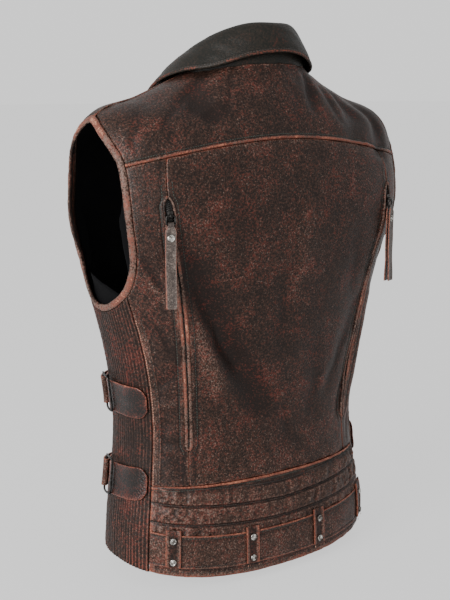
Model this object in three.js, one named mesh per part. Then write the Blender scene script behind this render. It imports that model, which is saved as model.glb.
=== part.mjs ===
// A leather vest, worn with no wearer: back with two zips, yoke, quilted kidney panel, half belt
// on riveted loops, ribbed sides with buckled straps, turned collar and zipped fronts.
// The wearer faces -Y, +X is the wearer's left, and the origin is the middle of the neck base.
import * as THREE from 'three';

// Driving dimensions, in millimetres and degrees
const leather = 2.2;
const seamGap = 0.3;
const laidOn = 0.5;
const liningCloth = 1.0;
const liningDrop = 0.95;
const liningSlack = 5;
const zipSlotHalf = 4.2;
const bindingHalfWidth = 4.2;
const bindingHalfThick = 2.4;
const bindingDepth = 0.7;
const bindingGap = 0.5;
const ribCount = 24;
const ribHeight = 1.3;
const edgeRoll = 1.2;
const beltInner = 1.3;
const beltHeight = 42;
const loopWidth = 18;
const loopOver = 6;
const loopShort = 1.5;
const rivetRadius = 4.2;
const rivetHeight = 2;
const rivetInset = 7;
const pullStrapLength = 97;
const pullStrapWidth = 12.5;
const pullStrapThick = 1.6;
const wireThick = 1.6;
const frameBar = 1.4;
const degree = Math.PI / 180;

// Cells of each piece's wall, across and along
const cells = {
  sideColumns: 5,
  centreColumns: 12,
  backRows: 16,
  yokeRows: 6,
  hemRows: 3,
  beltRows: 3,
  sidePanelRows: 7,
  frontColumns: 6,
  frontRows: 20,
  collarColumns: 28,
  standRows: 2,
  fallRows: 5,
  lapelColumns: 4,
  lapelRows: 9,
  liningColumns: 12,
  liningRows: 12,
  liningFrontColumns: 5,
  tabColumns: 9,
  tabRows: 4,
  sideSeamRows: 10,
  frontSeamRows: 13,
  frontZipRows: 14,
  bindingUnder: 12,
  loopColumns: 3,
  loopRows: 4,
  keeperRows: 2,
  zipRows: 12,
  liningSideRows: 7,
  liningZipRows: 7,
};

// Rings round the worn body, from hem to neck: heights at the side, centre back and centre front,
// half the width, depth behind and in front of the side line, and how square the ring is
const rings = [
  { name: 'hem', zSide: -604, zBack: -620, zFront: -600, half: 186, back: 106, front: 122, square: 2.4 },
  { name: 'belt', zSide: -556, zBack: -564, zFront: -552, half: 184, back: 104, front: 116, square: 2.4 },
  { name: 'kidney', zSide: -496, zBack: -500, zFront: -494, half: 177, back: 93, front: 114, square: 2.35 },
  { name: 'waist', zSide: -425, zBack: -428, zFront: -425, half: 174, back: 90, front: 113, square: 2.3 },
  { name: 'rib', zSide: -335, zBack: -335, zFront: -335, half: 186, back: 104, front: 118, square: 2.3 },
  { name: 'chest', zSide: -245, zBack: -245, zFront: -245, half: 209, back: 116, front: 124, square: 2.4 },
  { name: 'blade', zSide: -150, zBack: -165, zFront: -172, half: 231, back: 121, front: 118, square: 2.7 },
  { name: 'tip', zSide: -54, zBack: -88, zFront: -112, half: 215, back: 108, front: 98, square: 2.5 },
  { name: 'ridge', zSide: -25, zBack: -36, zFront: -66, half: 148, back: 95, front: 82, square: 2.1 },
  { name: 'neck', zSide: 0, zBack: 12, zFront: -32, half: 86, back: 78, front: 64, square: 2 },
];
const ringKeys = ['zSide', 'zBack', 'zFront', 'half', 'back', 'front', 'square'];
const neckRing = rings.length - 1;

// The armhole's edge, from the top of the shoulder back, down and round to the front
const armholeEdge = [
  { psi: 3, z: -53 },
  { psi: 15, z: -66 },
  { psi: 25, z: -85 },
  { psi: 31, z: -107 },
  { psi: 33.5, z: -150 },
  { psi: 33, z: -190 },
  { psi: 29.5, z: -226 },
  { psi: 21.5, z: -256 },
  { psi: 7, z: -275 },
  { psi: -8, z: -279 },
  { psi: -20, z: -264 },
  { psi: -28, z: -228 },
  { psi: -33.5, z: -180 },
  { psi: -34.5, z: -140 },
  { psi: -29.5, z: -106 },
  { psi: -20, z: -80 },
  { psi: -8.5, z: -60 },
];
const armholeYoke = 3;
const armholeSideBack = 7;
const armholeSideFront = 10.6;

// The largest soft folds: a trough (or a ridge, with a rise) along a line from one place to another
const folds = [
  { psi: 53, z: -225, toPsi: 66, toZ: -345, width: 16, rise: -4.5 },
  { psi: 64, z: -330, toPsi: 80, toZ: -405, width: 17, rise: -4 },
  { psi: 46, z: -250, toPsi: 60, toZ: -370, width: 15, rise: 2.4 },
  { psi: 140, z: -290, toPsi: 141, toZ: -440, width: 13, rise: 3 },
  { psi: 30, z: -10, toPsi: 58, toZ: -50, width: 10, rise: -3 },
  { psi: 118, z: -6, toPsi: 108, toZ: -40, width: 9, rise: -2.6 },
  { psi: 140, z: -26, toPsi: 122, toZ: -68, width: 10, rise: -3 },
  { psi: 146, z: -48, toPsi: 131, toZ: -98, width: 11, rise: -3 },
  { psi: -58, z: -250, toPsi: -66, toZ: -350, width: 17, rise: -3.5 },
  { psi: -122, z: -270, toPsi: -116, toZ: -370, width: 16, rise: -3 },
];
const foldScale = 3.2;
const foldEndShare = 0.55;
const ringDip = 0.75;

// Half of the collar, from the centre back to the front end of the left leaf
const collarStations = [
  { psi: 90, roll: [0, 72, 57], edge: [0, 92, 25] },
  { psi: 62, roll: [31, 61, 56], edge: [40, 81, 20] },
  { psi: 34, roll: [56, 37, 46], edge: [76, 54, 7] },
  { psi: 8, roll: [67, 5, 31], edge: [103, 12, 0] },
  { psi: -16, roll: [69, -27, 14], edge: [112, -28, -15] },
  { psi: -36, roll: [67, -49, -3], edge: [105, -62, -38] },
  { psi: -50, roll: [62, -62, -21], edge: [92, -86, -66] },
];

const vest = new THREE.Group();

function finish(color, roughness, metalness) {
  return new THREE.MeshStandardMaterial({ color, roughness, metalness });
}
const finishes = {
  hide: () => finish(0x4a2f29, 0.55, 0),
  wornHide: () => finish(0x6a4038, 0.6, 0),
  darkHide: () => finish(0x2e2624, 0.5, 0),
  lining: () => finish(0x0c0c0d, 0.8, 0),
  pewter: () => finish(0x8d8a84, 0.35, 1),
  gunmetal: () => finish(0x35322f, 0.4, 1),
};

// A value on a smooth curve through b and c, between a and d
function between(a, b, c, d, t) {
  const square = t * t;
  const cube = square * t;
  const bend = (2 * a - 5 * b + 4 * c - d) * square + (3 * b - a - 3 * c + d) * cube;
  return b + ((c - a) * t + bend) / 2;
}

function ringAt(v) {
  const i = Math.min(Math.max(Math.floor(v), 0), neckRing - 1);
  const ring = {};
  for (const key of ringKeys) {
    const b = rings[i][key];
    const c = rings[i + 1][key];
    const a = i > 0 ? rings[i - 1][key] : 2 * b - c;
    const d = i + 2 <= neckRing ? rings[i + 2][key] : 2 * c - b;
    ring[key] = between(a, b, c, d, v - i);
  }
  return ring;
}

// A point of the body's form: psi turns from the left side (0) over the back (90), v climbs the rings
function basePoint(psi, v) {
  const ring = ringAt(v);
  const c = Math.cos(psi * degree);
  const s = Math.sin(psi * degree);
  const reach = (Math.abs(c) ** ring.square + Math.abs(s) ** ring.square) ** (-1 / ring.square);
  const lift = Math.abs(s * reach) ** (ringDip * ring.square);
  const end = s >= 0 ? ring.zBack : ring.zFront;
  const depth = s >= 0 ? ring.back : ring.front;
  return new THREE.Vector3(ring.half * reach * c, depth * reach * s, ring.zSide * (1 - lift) + end * lift);
}

function foldRise(psi, z) {
  let rise = 0;
  for (const fold of folds) {
    const runX = (fold.toPsi - fold.psi) * foldScale;
    const runZ = fold.toZ - fold.z;
    const x = (psi - fold.psi) * foldScale;
    const along = (x * runX + (z - fold.z) * runZ) / (runX * runX + runZ * runZ);
    const near = Math.min(Math.max(along, 0), 1);
    const away = Math.hypot(x - near * runX, z - fold.z - near * runZ) / fold.width;
    const fade = foldEndShare + (1 - foldEndShare) * Math.sin(near * Math.PI);
    rise += fold.rise * Math.exp(-away * away) * fade;
  }
  return rise;
}

// The directions of the form at a place: out of it, round it and up it
function frameAt(at) {
  const point = basePoint(at.psi, at.v);
  const round = basePoint(at.psi + 0.5, at.v).sub(basePoint(at.psi - 0.5, at.v));
  const up = basePoint(at.psi, at.v + 0.01).sub(basePoint(at.psi, at.v - 0.01)).multiplyScalar(50);
  const out = new THREE.Vector3().crossVectors(round, up).normalize();
  return { point, round, up, out };
}

function skin(at, rise = 0) {
  const { point, out } = frameAt(at);
  return point.addScaledVector(out, rise + foldRise(at.psi, point.z));
}

// The place on the form at a given turn and height
function place(psi, z) {
  let low = 0;
  let high = neckRing;
  for (let i = 0; i < 40; i++) {
    const middle = (low + high) / 2;
    if (basePoint(psi, middle).z < z) {
      low = middle;
    } else {
      high = middle;
    }
  }
  return { psi, v: (low + high) / 2 };
}

// The same place moved along the form by a distance in a direction
function nudge(at, direction, distance) {
  const { round, up } = frameAt(at);
  const rr = round.dot(round);
  const ru = round.dot(up);
  const uu = up.dot(up);
  const r = round.dot(direction);
  const u = up.dot(direction);
  const det = rr * uu - ru * ru;
  return {
    psi: at.psi + (distance * (r * uu - u * ru)) / det,
    v: at.v + (distance * (u * rr - r * ru)) / det,
  };
}

function slideRound(at, distance) {
  return { psi: at.psi + distance / frameAt(at).round.length(), v: at.v };
}

function onSide(side, at) {
  return side > 0 ? at : { psi: 180 - at.psi, v: at.v };
}

function mixPlace(a, b, t) {
  return { psi: a.psi + (b.psi - a.psi) * t, v: a.v + (b.v - a.v) * t };
}

function steps(count, make) {
  return Array.from({ length: count + 1 }, (_, i) => make(i / count, i));
}

// A mesh from points and triangles, its faces turned outwards
function addSolid(name, material, points, faces, parent = vest) {
  let volume = 0;
  for (const [a, b, c] of faces) {
    volume += points[a].dot(new THREE.Vector3().crossVectors(points[b], points[c]));
  }
  const geometry = new THREE.BufferGeometry();
  const numbers = points.flatMap((point) => point.toArray());
  geometry.setAttribute('position', new THREE.Float32BufferAttribute(numbers, 3));
  geometry.setIndex(faces.flatMap(([a, b, c]) => (volume > 0 ? [a, b, c] : [a, c, b])));
  geometry.computeVertexNormals();
  const mesh = new THREE.Mesh(geometry, material);
  mesh.name = name;
  parent.add(mesh);
  return mesh;
}

// A closed wall between an outer and an inner grid of points
function addWall(name, material, outer, inner) {
  const columns = outer.length - 1;
  const rows = outer[0].length - 1;
  const perLayer = (columns + 1) * (rows + 1);
  const points = [...outer.flat(), ...inner.flat()];
  const at = (i, j, layer) => layer * perLayer + i * (rows + 1) + j;
  const faces = [];
  const quad = (a, b, c, d) => faces.push([a, b, c], [a, c, d]);
  for (let i = 0; i < columns; i++) {
    for (let j = 0; j < rows; j++) {
      quad(at(i, j, 0), at(i + 1, j, 0), at(i + 1, j + 1, 0), at(i, j + 1, 0));
      quad(at(i, j, 1), at(i, j + 1, 1), at(i + 1, j + 1, 1), at(i + 1, j, 1));
    }
  }
  for (let i = 0; i < columns; i++) {
    quad(at(i, 0, 1), at(i + 1, 0, 1), at(i + 1, 0, 0), at(i, 0, 0));
    quad(at(i, rows, 0), at(i + 1, rows, 0), at(i + 1, rows, 1), at(i, rows, 1));
  }
  for (let j = 0; j < rows; j++) {
    quad(at(0, j, 0), at(0, j + 1, 0), at(0, j + 1, 1), at(0, j, 1));
    quad(at(columns, j, 1), at(columns, j + 1, 1), at(columns, j + 1, 0), at(columns, j, 0));
  }
  return addSolid(name, material, points, faces);
}

// A closed solid through sections of equally many points, capped or joined end to end
function addLoft(name, material, sections, joined = false, parent = vest) {
  const sides = sections[0].length;
  const faces = [];
  const last = joined ? sections.length : sections.length - 1;
  const at = (i, k) => (i % sections.length) * sides + (k % sides);
  for (let i = 0; i < last; i++) {
    for (let k = 0; k < sides; k++) {
      faces.push([at(i, k), at(i + 1, k), at(i + 1, k + 1)], [at(i, k), at(i + 1, k + 1), at(i, k + 1)]);
    }
  }
  if (!joined) {
    for (let k = 1; k < sides - 1; k++) {
      faces.push([at(0, 0), at(0, k), at(0, k + 1)], [at(last, 0), at(last, k + 1), at(last, k)]);
    }
  }
  return addSolid(name, material, sections.flat(), faces, parent);
}

// Draws a grid's edge back from the seam, towards the grid's middle
function drawBack(grid, trim) {
  const columns = grid.length - 1;
  const rows = grid[0].length - 1;
  const pull = (edge, next, amount) => {
    const way = next.clone().sub(edge).normalize();
    edge.addScaledVector(way, amount);
  };
  for (let j = 0; j <= rows; j++) {
    pull(grid[0][j], grid[1][j], trim.left);
    pull(grid[columns][j], grid[columns - 1][j], trim.right);
  }
  for (let i = 0; i <= columns; i++) {
    pull(grid[i][0], grid[i][1], trim.bottom);
    pull(grid[i][rows], grid[i][rows - 1], trim.top);
  }
}

// The places inside a piece, blended from its four edges
function patch(edges) {
  const { bottom, top, left, right } = edges;
  const columns = bottom.length - 1;
  const rows = left.length - 1;
  const blend = (key, i, j) => {
    const s = i / columns;
    const t = j / rows;
    const across = (1 - s) * left[j][key] + s * right[j][key];
    const along = (1 - t) * bottom[i][key] + t * top[i][key];
    const low = (1 - s) * bottom[0][key] + s * bottom[columns][key];
    const high = (1 - s) * top[0][key] + s * top[columns][key];
    return across + along - (1 - t) * low - t * high;
  };
  const placeAt = (i, j) => ({ psi: blend('psi', i, j), v: blend('v', i, j) });
  return steps(columns, (s, i) => steps(rows, (t, j) => placeAt(i, j)));
}

const halfSeam = { left: seamGap / 2, right: seamGap / 2, bottom: seamGap / 2, top: seamGap / 2 };

// A cut piece of leather on the form, with its relief raised on the outside alone
function addPanel(name, material, edges, options = {}) {
  const { side = 1, rise = 0, thick = leather, relief = () => 0, trim = halfSeam } = options;
  const riseAt = typeof rise === 'function' ? rise : () => rise;
  const places = patch(edges);
  const layer = (raise) => places.map((column, i) => (
    column.map((at, j) => skin(onSide(side, at), raise(i, j)))
  ));
  const outer = layer((i, j) => riseAt(i, j) + relief(i, j));
  const inner = layer((i, j) => riseAt(i, j) - thick);
  drawBack(outer, trim);
  drawBack(inner, trim);
  return addWall(name, material, outer, inner);
}

// Seams and edges as lists of places
const { sideColumns, centreColumns, backRows } = cells;
const backColumns = 2 * sideColumns + centreColumns;
const sideSeamTurn = 27;
const zipTurn = 47;
const zipTurns = [
  { z: -500, psi: 47.5 },
  { z: -440, psi: 47 },
  { z: -350, psi: 46.4 },
  { z: -260, psi: 47.2 },
  { z: -165, psi: 48.4 },
  { z: -97, psi: 47 },
];
const yokeEndHeight = -107;
const yokeArch = 30;
const kidneyHeight = -500;
const kidneyBottom = -569;
const kidneyDipShare = 0.8;
const beltTopSide = -554.5;
const backDip = 11;
const yokeEndTurn = 31;
const yokeArchPower = 1.1;

function backArch(psi) {
  return Math.sin(((psi - sideSeamTurn) / (180 - 2 * sideSeamTurn)) * Math.PI);
}

// Turns of the columns across the back, the outer ones from the side seam to the zip line
function backTurns(sideTurn) {
  return steps(backColumns, (_, i) => {
    if (i <= sideColumns) {
      return sideTurn + ((zipTurn - sideTurn) * i) / sideColumns;
    }
    if (i < backColumns - sideColumns) {
      return zipTurn + ((180 - 2 * zipTurn) * (i - sideColumns)) / centreColumns;
    }
    return 180 - sideTurn - ((zipTurn - sideTurn) * (backColumns - i)) / sideColumns;
  });
}

function yokeHeight(psi) {
  const arch = Math.max(Math.sin(((psi - yokeEndTurn) / (180 - 2 * yokeEndTurn)) * Math.PI), 0);
  return yokeEndHeight + yokeArch * arch ** yokeArchPower;
}

const seams = {
  kidney: backTurns(sideSeamTurn).map((psi) => place(psi, kidneyHeight)),
  kidneyLow: backTurns(sideSeamTurn).map((psi) => (
    place(psi, kidneyBottom - kidneyDipShare * backDip * backArch(psi))
  )),
  hem: backTurns(sideSeamTurn).map((psi) => ({ psi, v: 0 })),
};

function armholeAt(a) {
  const count = armholeEdge.length;
  const i = Math.floor(a);
  const [p, q, r, s] = [-1, 0, 1, 2].map((k) => armholeEdge[(i + k + count) % count]);
  return place(between(p.psi, q.psi, r.psi, s.psi, a - i), between(p.z, q.z, r.z, s.z, a - i));
}

// The direction away from the armhole's opening, along the form
function armholeAway(a) {
  const along = skin(armholeAt(a + 0.05)).sub(skin(armholeAt(a - 0.05)));
  return new THREE.Vector3().crossVectors(frameAt(armholeAt(a)).out, along).normalize();
}

function panelEdgeAt(a) {
  return nudge(armholeAt(a), armholeAway(a), bindingHalfWidth + bindingGap);
}

const armholeCount = armholeEdge.length;
const shoulderTop = panelEdgeAt(0);
const yokeLeft = steps(cells.yokeRows, (t) => panelEdgeAt(armholeYoke * (1 - t)));
seams.yoke = backTurns(yokeLeft[0].psi).map((psi) => place(psi, yokeHeight(psi)));
seams.yoke[0] = yokeLeft[0];
seams.yoke[backColumns] = onSide(-1, yokeLeft[0]);

const { sideSeamRows } = cells;
const sideSeamTop = panelEdgeAt(armholeSideBack);
const seamBend = { from: 0.35, power: 1.6 };
const backLeft = steps(backRows, (_, j) => {
  if (j >= sideSeamRows) {
    const t = (j - sideSeamRows) / (backRows - sideSeamRows);
    return panelEdgeAt(armholeSideBack + (armholeYoke - armholeSideBack) * t);
  }
  const t = j / sideSeamRows;
  const bend = Math.max(t - seamBend.from, 0) / (1 - seamBend.from);
  const turn = sideSeamTurn - (sideSeamTurn - sideSeamTop.psi) * bend ** seamBend.power;
  const height = kidneyHeight + (basePoint(sideSeamTop.psi, sideSeamTop.v).z - kidneyHeight) * t;
  return place(turn, height);
});
backLeft[0] = seams.kidney[0];

function zipTurnAt(z) {
  let k = 1;
  while (k < zipTurns.length - 1 && zipTurns[k].z < z) {
    k++;
  }
  const share = (z - zipTurns[k - 1].z) / (zipTurns[k].z - zipTurns[k - 1].z);
  return zipTurns[k - 1].psi + (zipTurns[k].psi - zipTurns[k - 1].psi) * Math.min(share, 1);
}

const zipLine = steps(backRows, (t) => {
  const z = kidneyHeight + (yokeHeight(zipTurn) - kidneyHeight) * t;
  return place(zipTurnAt(z), z);
});
zipLine[0] = seams.kidney[sideColumns];
zipLine[backRows] = seams.yoke[sideColumns];

// The zip's slot between back and side back, in rows of the zip line
const zipSlot = { low: 2, high: 14, taper: 1 };

function slotHalf(row) {
  const inside = Math.min(row - zipSlot.low, zipSlot.high - row) / zipSlot.taper + 1;
  return seamGap / 2 + (zipSlotHalf - seamGap / 2) * Math.min(Math.max(inside, 0), 1);
}

function zipLineAt(row) {
  const low = Math.min(Math.floor(row), backRows - 1);
  return mixPlace(zipLine[low], zipLine[low + 1], row - low);
}

const zipLineCentreSide = zipLine.map((at, j) => slideRound(at, slotHalf(j)));
const zipLineOuterSide = zipLine.map((at, j) => slideRound(at, -slotHalf(j)));

function slice(list, from, to) {
  return list.slice(from, to + 1);
}

// Back
const centreEdges = {
  bottom: slice(seams.kidney, sideColumns, sideColumns + centreColumns),
  top: slice(seams.yoke, sideColumns, sideColumns + centreColumns),
  left: zipLineCentreSide,
  right: zipLineCentreSide.map((at) => onSide(-1, at)),
};
centreEdges.bottom[0] = zipLineCentreSide[0];
centreEdges.bottom[centreColumns] = onSide(-1, zipLineCentreSide[0]);
centreEdges.top[0] = zipLineCentreSide[backRows];
centreEdges.top[centreColumns] = onSide(-1, zipLineCentreSide[backRows]);
const topAndBottom = { left: 0, right: 0, bottom: seamGap / 2, top: seamGap / 2 };
addPanel('back_centre', finishes.hide(), centreEdges, { trim: topAndBottom });

const sideBackEdges = {
  bottom: slice(seams.kidney, 0, sideColumns),
  top: slice(seams.yoke, 0, sideColumns),
  left: backLeft,
  right: zipLineOuterSide,
};
sideBackEdges.bottom[sideColumns] = zipLineOuterSide[0];
sideBackEdges.top[sideColumns] = zipLineOuterSide[backRows];
for (const [name, side] of [['left', 1], ['right', -1]]) {
  const trim = { left: seamGap / 2, right: 0, bottom: seamGap / 2, top: seamGap / 2 };
  addPanel(`back_side_${name}`, finishes.hide(), sideBackEdges, { side, trim });
}

// Yoke, from the yoke seam over the shoulders to the shoulder seams and the neck
const neckBack = steps(centreColumns, (t) => ({ psi: 180 * t, v: neckRing }));
const shoulderSeam = steps(sideColumns, (t) => mixPlace(shoulderTop, neckBack[0], t));
const yokeTop = [
  ...shoulderSeam.slice(0, -1),
  ...neckBack,
  ...shoulderSeam.slice(0, -1).reverse().map((at) => onSide(-1, at)),
];
const yokeEdges = {
  bottom: seams.yoke,
  top: yokeTop,
  left: yokeLeft,
  right: yokeLeft.map((at) => onSide(-1, at)),
};
addPanel('yoke', finishes.hide(), yokeEdges, { relief: (i, j) => (j === 0 ? edgeRoll : 0) });

// Kidney panel with sewn channels, each row a share of its height and how far it is raised
const channelRows = [
  { share: 0, raised: 1.4 },
  { share: 0.075, raised: 1.3 },
  { share: 0.15, raised: 0.2 },
  { share: 0.29, raised: 3.2 },
  { share: 0.43, raised: 0.2 },
  { share: 0.57, raised: 3 },
  { share: 0.71, raised: 0.2 },
  { share: 0.84, raised: 0.8 },
  { share: 1, raised: 0 },
];
const kidneyLeft = channelRows.map(({ share }) => (
  mixPlace(seams.kidneyLow[0], seams.kidney[0], 1 - share)
)).reverse();
addPanel('kidney_panel', finishes.wornHide(), {
  bottom: seams.kidneyLow,
  top: seams.kidney,
  left: kidneyLeft,
  right: kidneyLeft.map((at) => onSide(-1, at)),
}, { relief: (i, j) => channelRows[channelRows.length - 1 - j].raised });

// Hem band below it
const hemLeft = steps(cells.hemRows, (t) => mixPlace(seams.hem[0], seams.kidneyLow[0], t));
addPanel('hem_band', finishes.hide(), {
  bottom: seams.hem,
  top: seams.kidneyLow,
  left: hemLeft,
  right: hemLeft.map((at) => onSide(-1, at)),
});

// Half belt over the seam of kidney panel and hem band
function beltPlace(psi, share) {
  return place(psi, beltTopSide - backDip * backArch(psi) - beltHeight * (1 - share));
}
const beltEndTurn = 0.8;
const beltTurns = backTurns(sideSeamTurn + beltEndTurn);
const beltOuter = beltInner + leather;
const beltLeft = steps(cells.beltRows, (t) => beltPlace(beltTurns[0], t));
addPanel('half_belt', finishes.wornHide(), {
  bottom: beltTurns.map((psi) => beltPlace(psi, 0)),
  top: beltTurns.map((psi) => beltPlace(psi, 1)),
  left: beltLeft,
  right: beltLeft.map((at) => onSide(-1, at)),
}, { rise: beltOuter });

// A mesh seated on the form, its own Z along the way out and its own Y up the form
function seat(mesh, at, rise) {
  const { round, up, out } = frameAt(at);
  const across = round.clone().normalize();
  const upward = new THREE.Vector3().crossVectors(out, across);
  mesh.position.copy(skin(at, rise));
  mesh.quaternion.setFromRotationMatrix(new THREE.Matrix4().makeBasis(across, upward, out));
  vest.add(mesh);
}

// A rivet's domed cap as shares of its radius and height
const rivetProfile = [
  { out: 0, up: 0 },
  { out: 1, up: 0 },
  { out: 1, up: 0.35 },
  { out: 0.72, up: 0.85 },
  { out: 0, up: 1 },
];
const rivetSides = 10;

function rivetGeometry(radius) {
  const points = rivetProfile.map(({ out, up }) => new THREE.Vector2(out * radius, up * rivetHeight));
  return new THREE.LatheGeometry(points, rivetSides).rotateX(Math.PI / 2);
}

// Belt loops with two rivets each
const loopTurns = [40, 73.5, 106.5, 140];
const loopRise = beltOuter + laidOn + leather;
loopTurns.forEach((psi, i) => {
  const low = beltPlace(psi, loopShort / beltHeight);
  const high = beltPlace(psi, 1 + loopOver / beltHeight);
  const edge = (at, t) => slideRound(at, loopWidth * (t - 0.5));
  addPanel(`belt_loop_${i + 1}`, finishes.wornHide(), {
    bottom: steps(cells.loopColumns, (t) => edge(low, t)),
    top: steps(cells.loopColumns, (t) => edge(high, t)),
    left: steps(cells.loopRows, (t) => edge(mixPlace(low, high, t), 0)),
    right: steps(cells.loopRows, (t) => edge(mixPlace(low, high, t), 1)),
  }, { rise: loopRise });
  [1 - rivetInset / beltHeight, (rivetInset + loopShort) / beltHeight].forEach((share, k) => {
    const rivet = new THREE.Mesh(rivetGeometry(rivetRadius), finishes.pewter());
    rivet.name = `loop_rivet_${2 * i + k + 1}`;
    seat(rivet, beltPlace(psi, share), loopRise + seamGap);
  });
});

// Ribbed side panels
const ribColumns = 2 * ribCount;
const frontSeamTurn = -36;
const frontSeamBend = 2.2;
const sideFrontTop = panelEdgeAt(armholeSideFront);

function frontSeamAt(t) {
  if (t <= 0) {
    return { psi: frontSeamTurn, v: 0 };
  }
  if (t >= 1) {
    return sideFrontTop;
  }
  const top = basePoint(sideFrontTop.psi, sideFrontTop.v).z;
  const bottom = basePoint(frontSeamTurn, 0).z;
  const turn = frontSeamTurn + (sideFrontTop.psi - frontSeamTurn) * t ** frontSeamBend;
  return place(turn, bottom + (top - bottom) * t);
}

// The side seam of the back as one line from hem to armhole
const sideSeamLine = [seams.hem[0], seams.kidneyLow[0], ...slice(backLeft, 0, sideSeamRows)];
const lineHeights = sideSeamLine.map((at) => basePoint(at.psi, at.v).z);

function sideSeamAt(t) {
  const z = lineHeights[0] + (lineHeights[lineHeights.length - 1] - lineHeights[0]) * t;
  let k = 0;
  while (k < lineHeights.length - 2 && lineHeights[k + 1] < z) {
    k++;
  }
  const share = (z - lineHeights[k]) / (lineHeights[k + 1] - lineHeights[k]);
  return mixPlace(sideSeamLine[k], sideSeamLine[k + 1], share);
}

const sidePanelEdges = {
  bottom: steps(ribColumns, (s) => ({ psi: sideSeamTurn + (frontSeamTurn - sideSeamTurn) * s, v: 0 })),
  top: steps(ribColumns, (s) => panelEdgeAt(armholeSideBack + (armholeSideFront - armholeSideBack) * s)),
  left: steps(cells.sidePanelRows, (t) => sideSeamAt(t)),
  right: steps(cells.sidePanelRows, (t) => frontSeamAt(t)),
};
for (const [name, side] of [['left', 1], ['right', -1]]) {
  const relief = (i) => (i % 2 ? ribHeight : 0);
  addPanel(`side_panel_${name}`, finishes.hide(), sidePanelEdges, { side, relief });
}

// Fronts, from the side seam to the zip and, above it, the open neck edge
const { frontSeamRows, frontZipRows } = cells;
const ribSeamTrim = 0.4;
const breakHeight = -215;
const neckOpening = [
  { psi: -88, z: breakHeight },
  { psi: -84, z: -168 },
  { psi: -78.5, z: -122 },
  { psi: -70, z: -84 },
  { psi: -57, z: -50 },
  { psi: -34, z: -22 },
  { psi: 0, z: 0 },
];
const toLeft = new THREE.Vector3(1, 0, 0);

// A place on the open neck edge, counted in rows of its table
function openingAt(row) {
  const last = neckOpening.length - 1;
  if (row >= last) {
    return { psi: 0, v: neckRing };
  }
  const i = Math.floor(row);
  const [p, q, r, s] = [i - 1, i, i + 1, i + 2].map((k) => neckOpening[Math.min(Math.max(k, 0), last)]);
  return place(between(p.psi, q.psi, r.psi, s.psi, row - i), between(p.z, q.z, r.z, s.z, row - i));
}

function centreFrontAt(t, offset) {
  const bottom = basePoint(-90, 0).z;
  const z = bottom + (breakHeight - bottom) * t;
  const at = t <= 0 ? { psi: -90, v: 0 } : place(-90, z);
  return nudge(at, toLeft, offset);
}

const frontInner = steps(cells.frontRows, (_, j) => {
  if (j < frontZipRows) {
    return centreFrontAt(j / frontZipRows, zipSlotHalf);
  }
  return openingAt(((neckOpening.length - 1) * (j - frontZipRows)) / (cells.frontRows - frontZipRows));
});
frontInner[0].v = 0;
const frontOuter = steps(cells.frontRows, (_, j) => {
  if (j <= frontSeamRows) {
    return frontSeamAt(j / frontSeamRows);
  }
  const t = (j - frontSeamRows) / (cells.frontRows - frontSeamRows);
  return panelEdgeAt(armholeSideFront + (armholeCount - armholeSideFront) * t);
});
const frontTop = steps(cells.frontColumns, (t) => mixPlace({ psi: 0, v: neckRing }, shoulderTop, t));
const frontHem = steps(cells.frontColumns, (t) => ({
  psi: frontInner[0].psi + (frontOuter[0].psi - frontInner[0].psi) * t,
  v: 0,
}));
for (const [name, side] of [['left', 1], ['right', -1]]) {
  addPanel(`front_${name}`, finishes.hide(), {
    bottom: frontHem,
    top: frontTop,
    left: frontInner,
    right: frontOuter,
  }, { side, trim: { left: 0, right: ribSeamTrim, bottom: seamGap / 2, top: seamGap / 2 } });
}

// Rolled binding round each armhole
const bindingRuns = [
  { from: 0, to: armholeYoke, count: cells.yokeRows },
  { from: armholeYoke, to: armholeSideBack, count: backRows - sideSeamRows },
  { from: armholeSideBack, to: armholeSideFront, count: cells.bindingUnder },
  { from: armholeSideFront, to: armholeCount, count: cells.frontRows - frontSeamRows },
];
const bindingStops = bindingRuns.flatMap(({ from, to, count }) => (
  steps(count, (t) => from + (to - from) * t).slice(0, -1)
));
const bindingSides = 6;
const mirrorX = new THREE.Vector3(-1, 1, 1);
for (const [name, side] of [['left', 1], ['right', -1]]) {
  const sections = bindingStops.map((a) => {
    const at = armholeAt(a);
    const centre = skin(onSide(side, at), -bindingDepth);
    const away = armholeAway(a);
    const { out } = frameAt(onSide(side, at));
    if (side < 0) {
      away.multiply(mirrorX);
    }
    return steps(bindingSides, (t) => {
      const angle = 2 * Math.PI * t;
      return centre.clone()
        .addScaledVector(away, bindingHalfWidth * Math.cos(angle))
        .addScaledVector(out, bindingHalfThick * Math.sin(angle));
    }).slice(0, -1);
  });
  addLoft(`armhole_binding_${name}`, finishes.wornHide(), sections, true);
}

// Side straps: a tab drawn back through a buckle frame, and the turned strap that holds the frame
const straps = [
  { name: 'upper', z: -395, forward: 0, half: 20.5 },
  { name: 'lower', z: -498, forward: -7, half: 21 },
];
const tabTurns = { rear: 25, front: -14 };
const tabClear = 0.8;
const tabLow = ribHeight + tabClear + leather;
const tabLift = { height: 2.6, share: 0.42, power: 1.5 };
const tabEnd = { share: 0.22, cut: 0.8, power: 2.4 };
const keeperTurns = { rear: -24, front: -38 };
const keeperHalf = 15;
const keeperRise = [5.2, 9.6, 10.2, 9.2];
const keeperThick = 5.4;
const frameTurns = { front: -23.4, rear: -9 };
const frameRise = { front: 7, rear: tabLow + 3.4 };
const frameOver = 3;
const framePath = [
  { u: 0, w: -0.85 },
  { u: 0, w: 0 },
  { u: 0, w: 0.85 },
  { u: 0.18, w: 1 },
  { u: 0.82, w: 1 },
  { u: 1, w: 0.85 },
  { u: 1, w: 0 },
  { u: 1, w: -0.85 },
  { u: 0.82, w: -1 },
  { u: 0.18, w: -1 },
];

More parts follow.
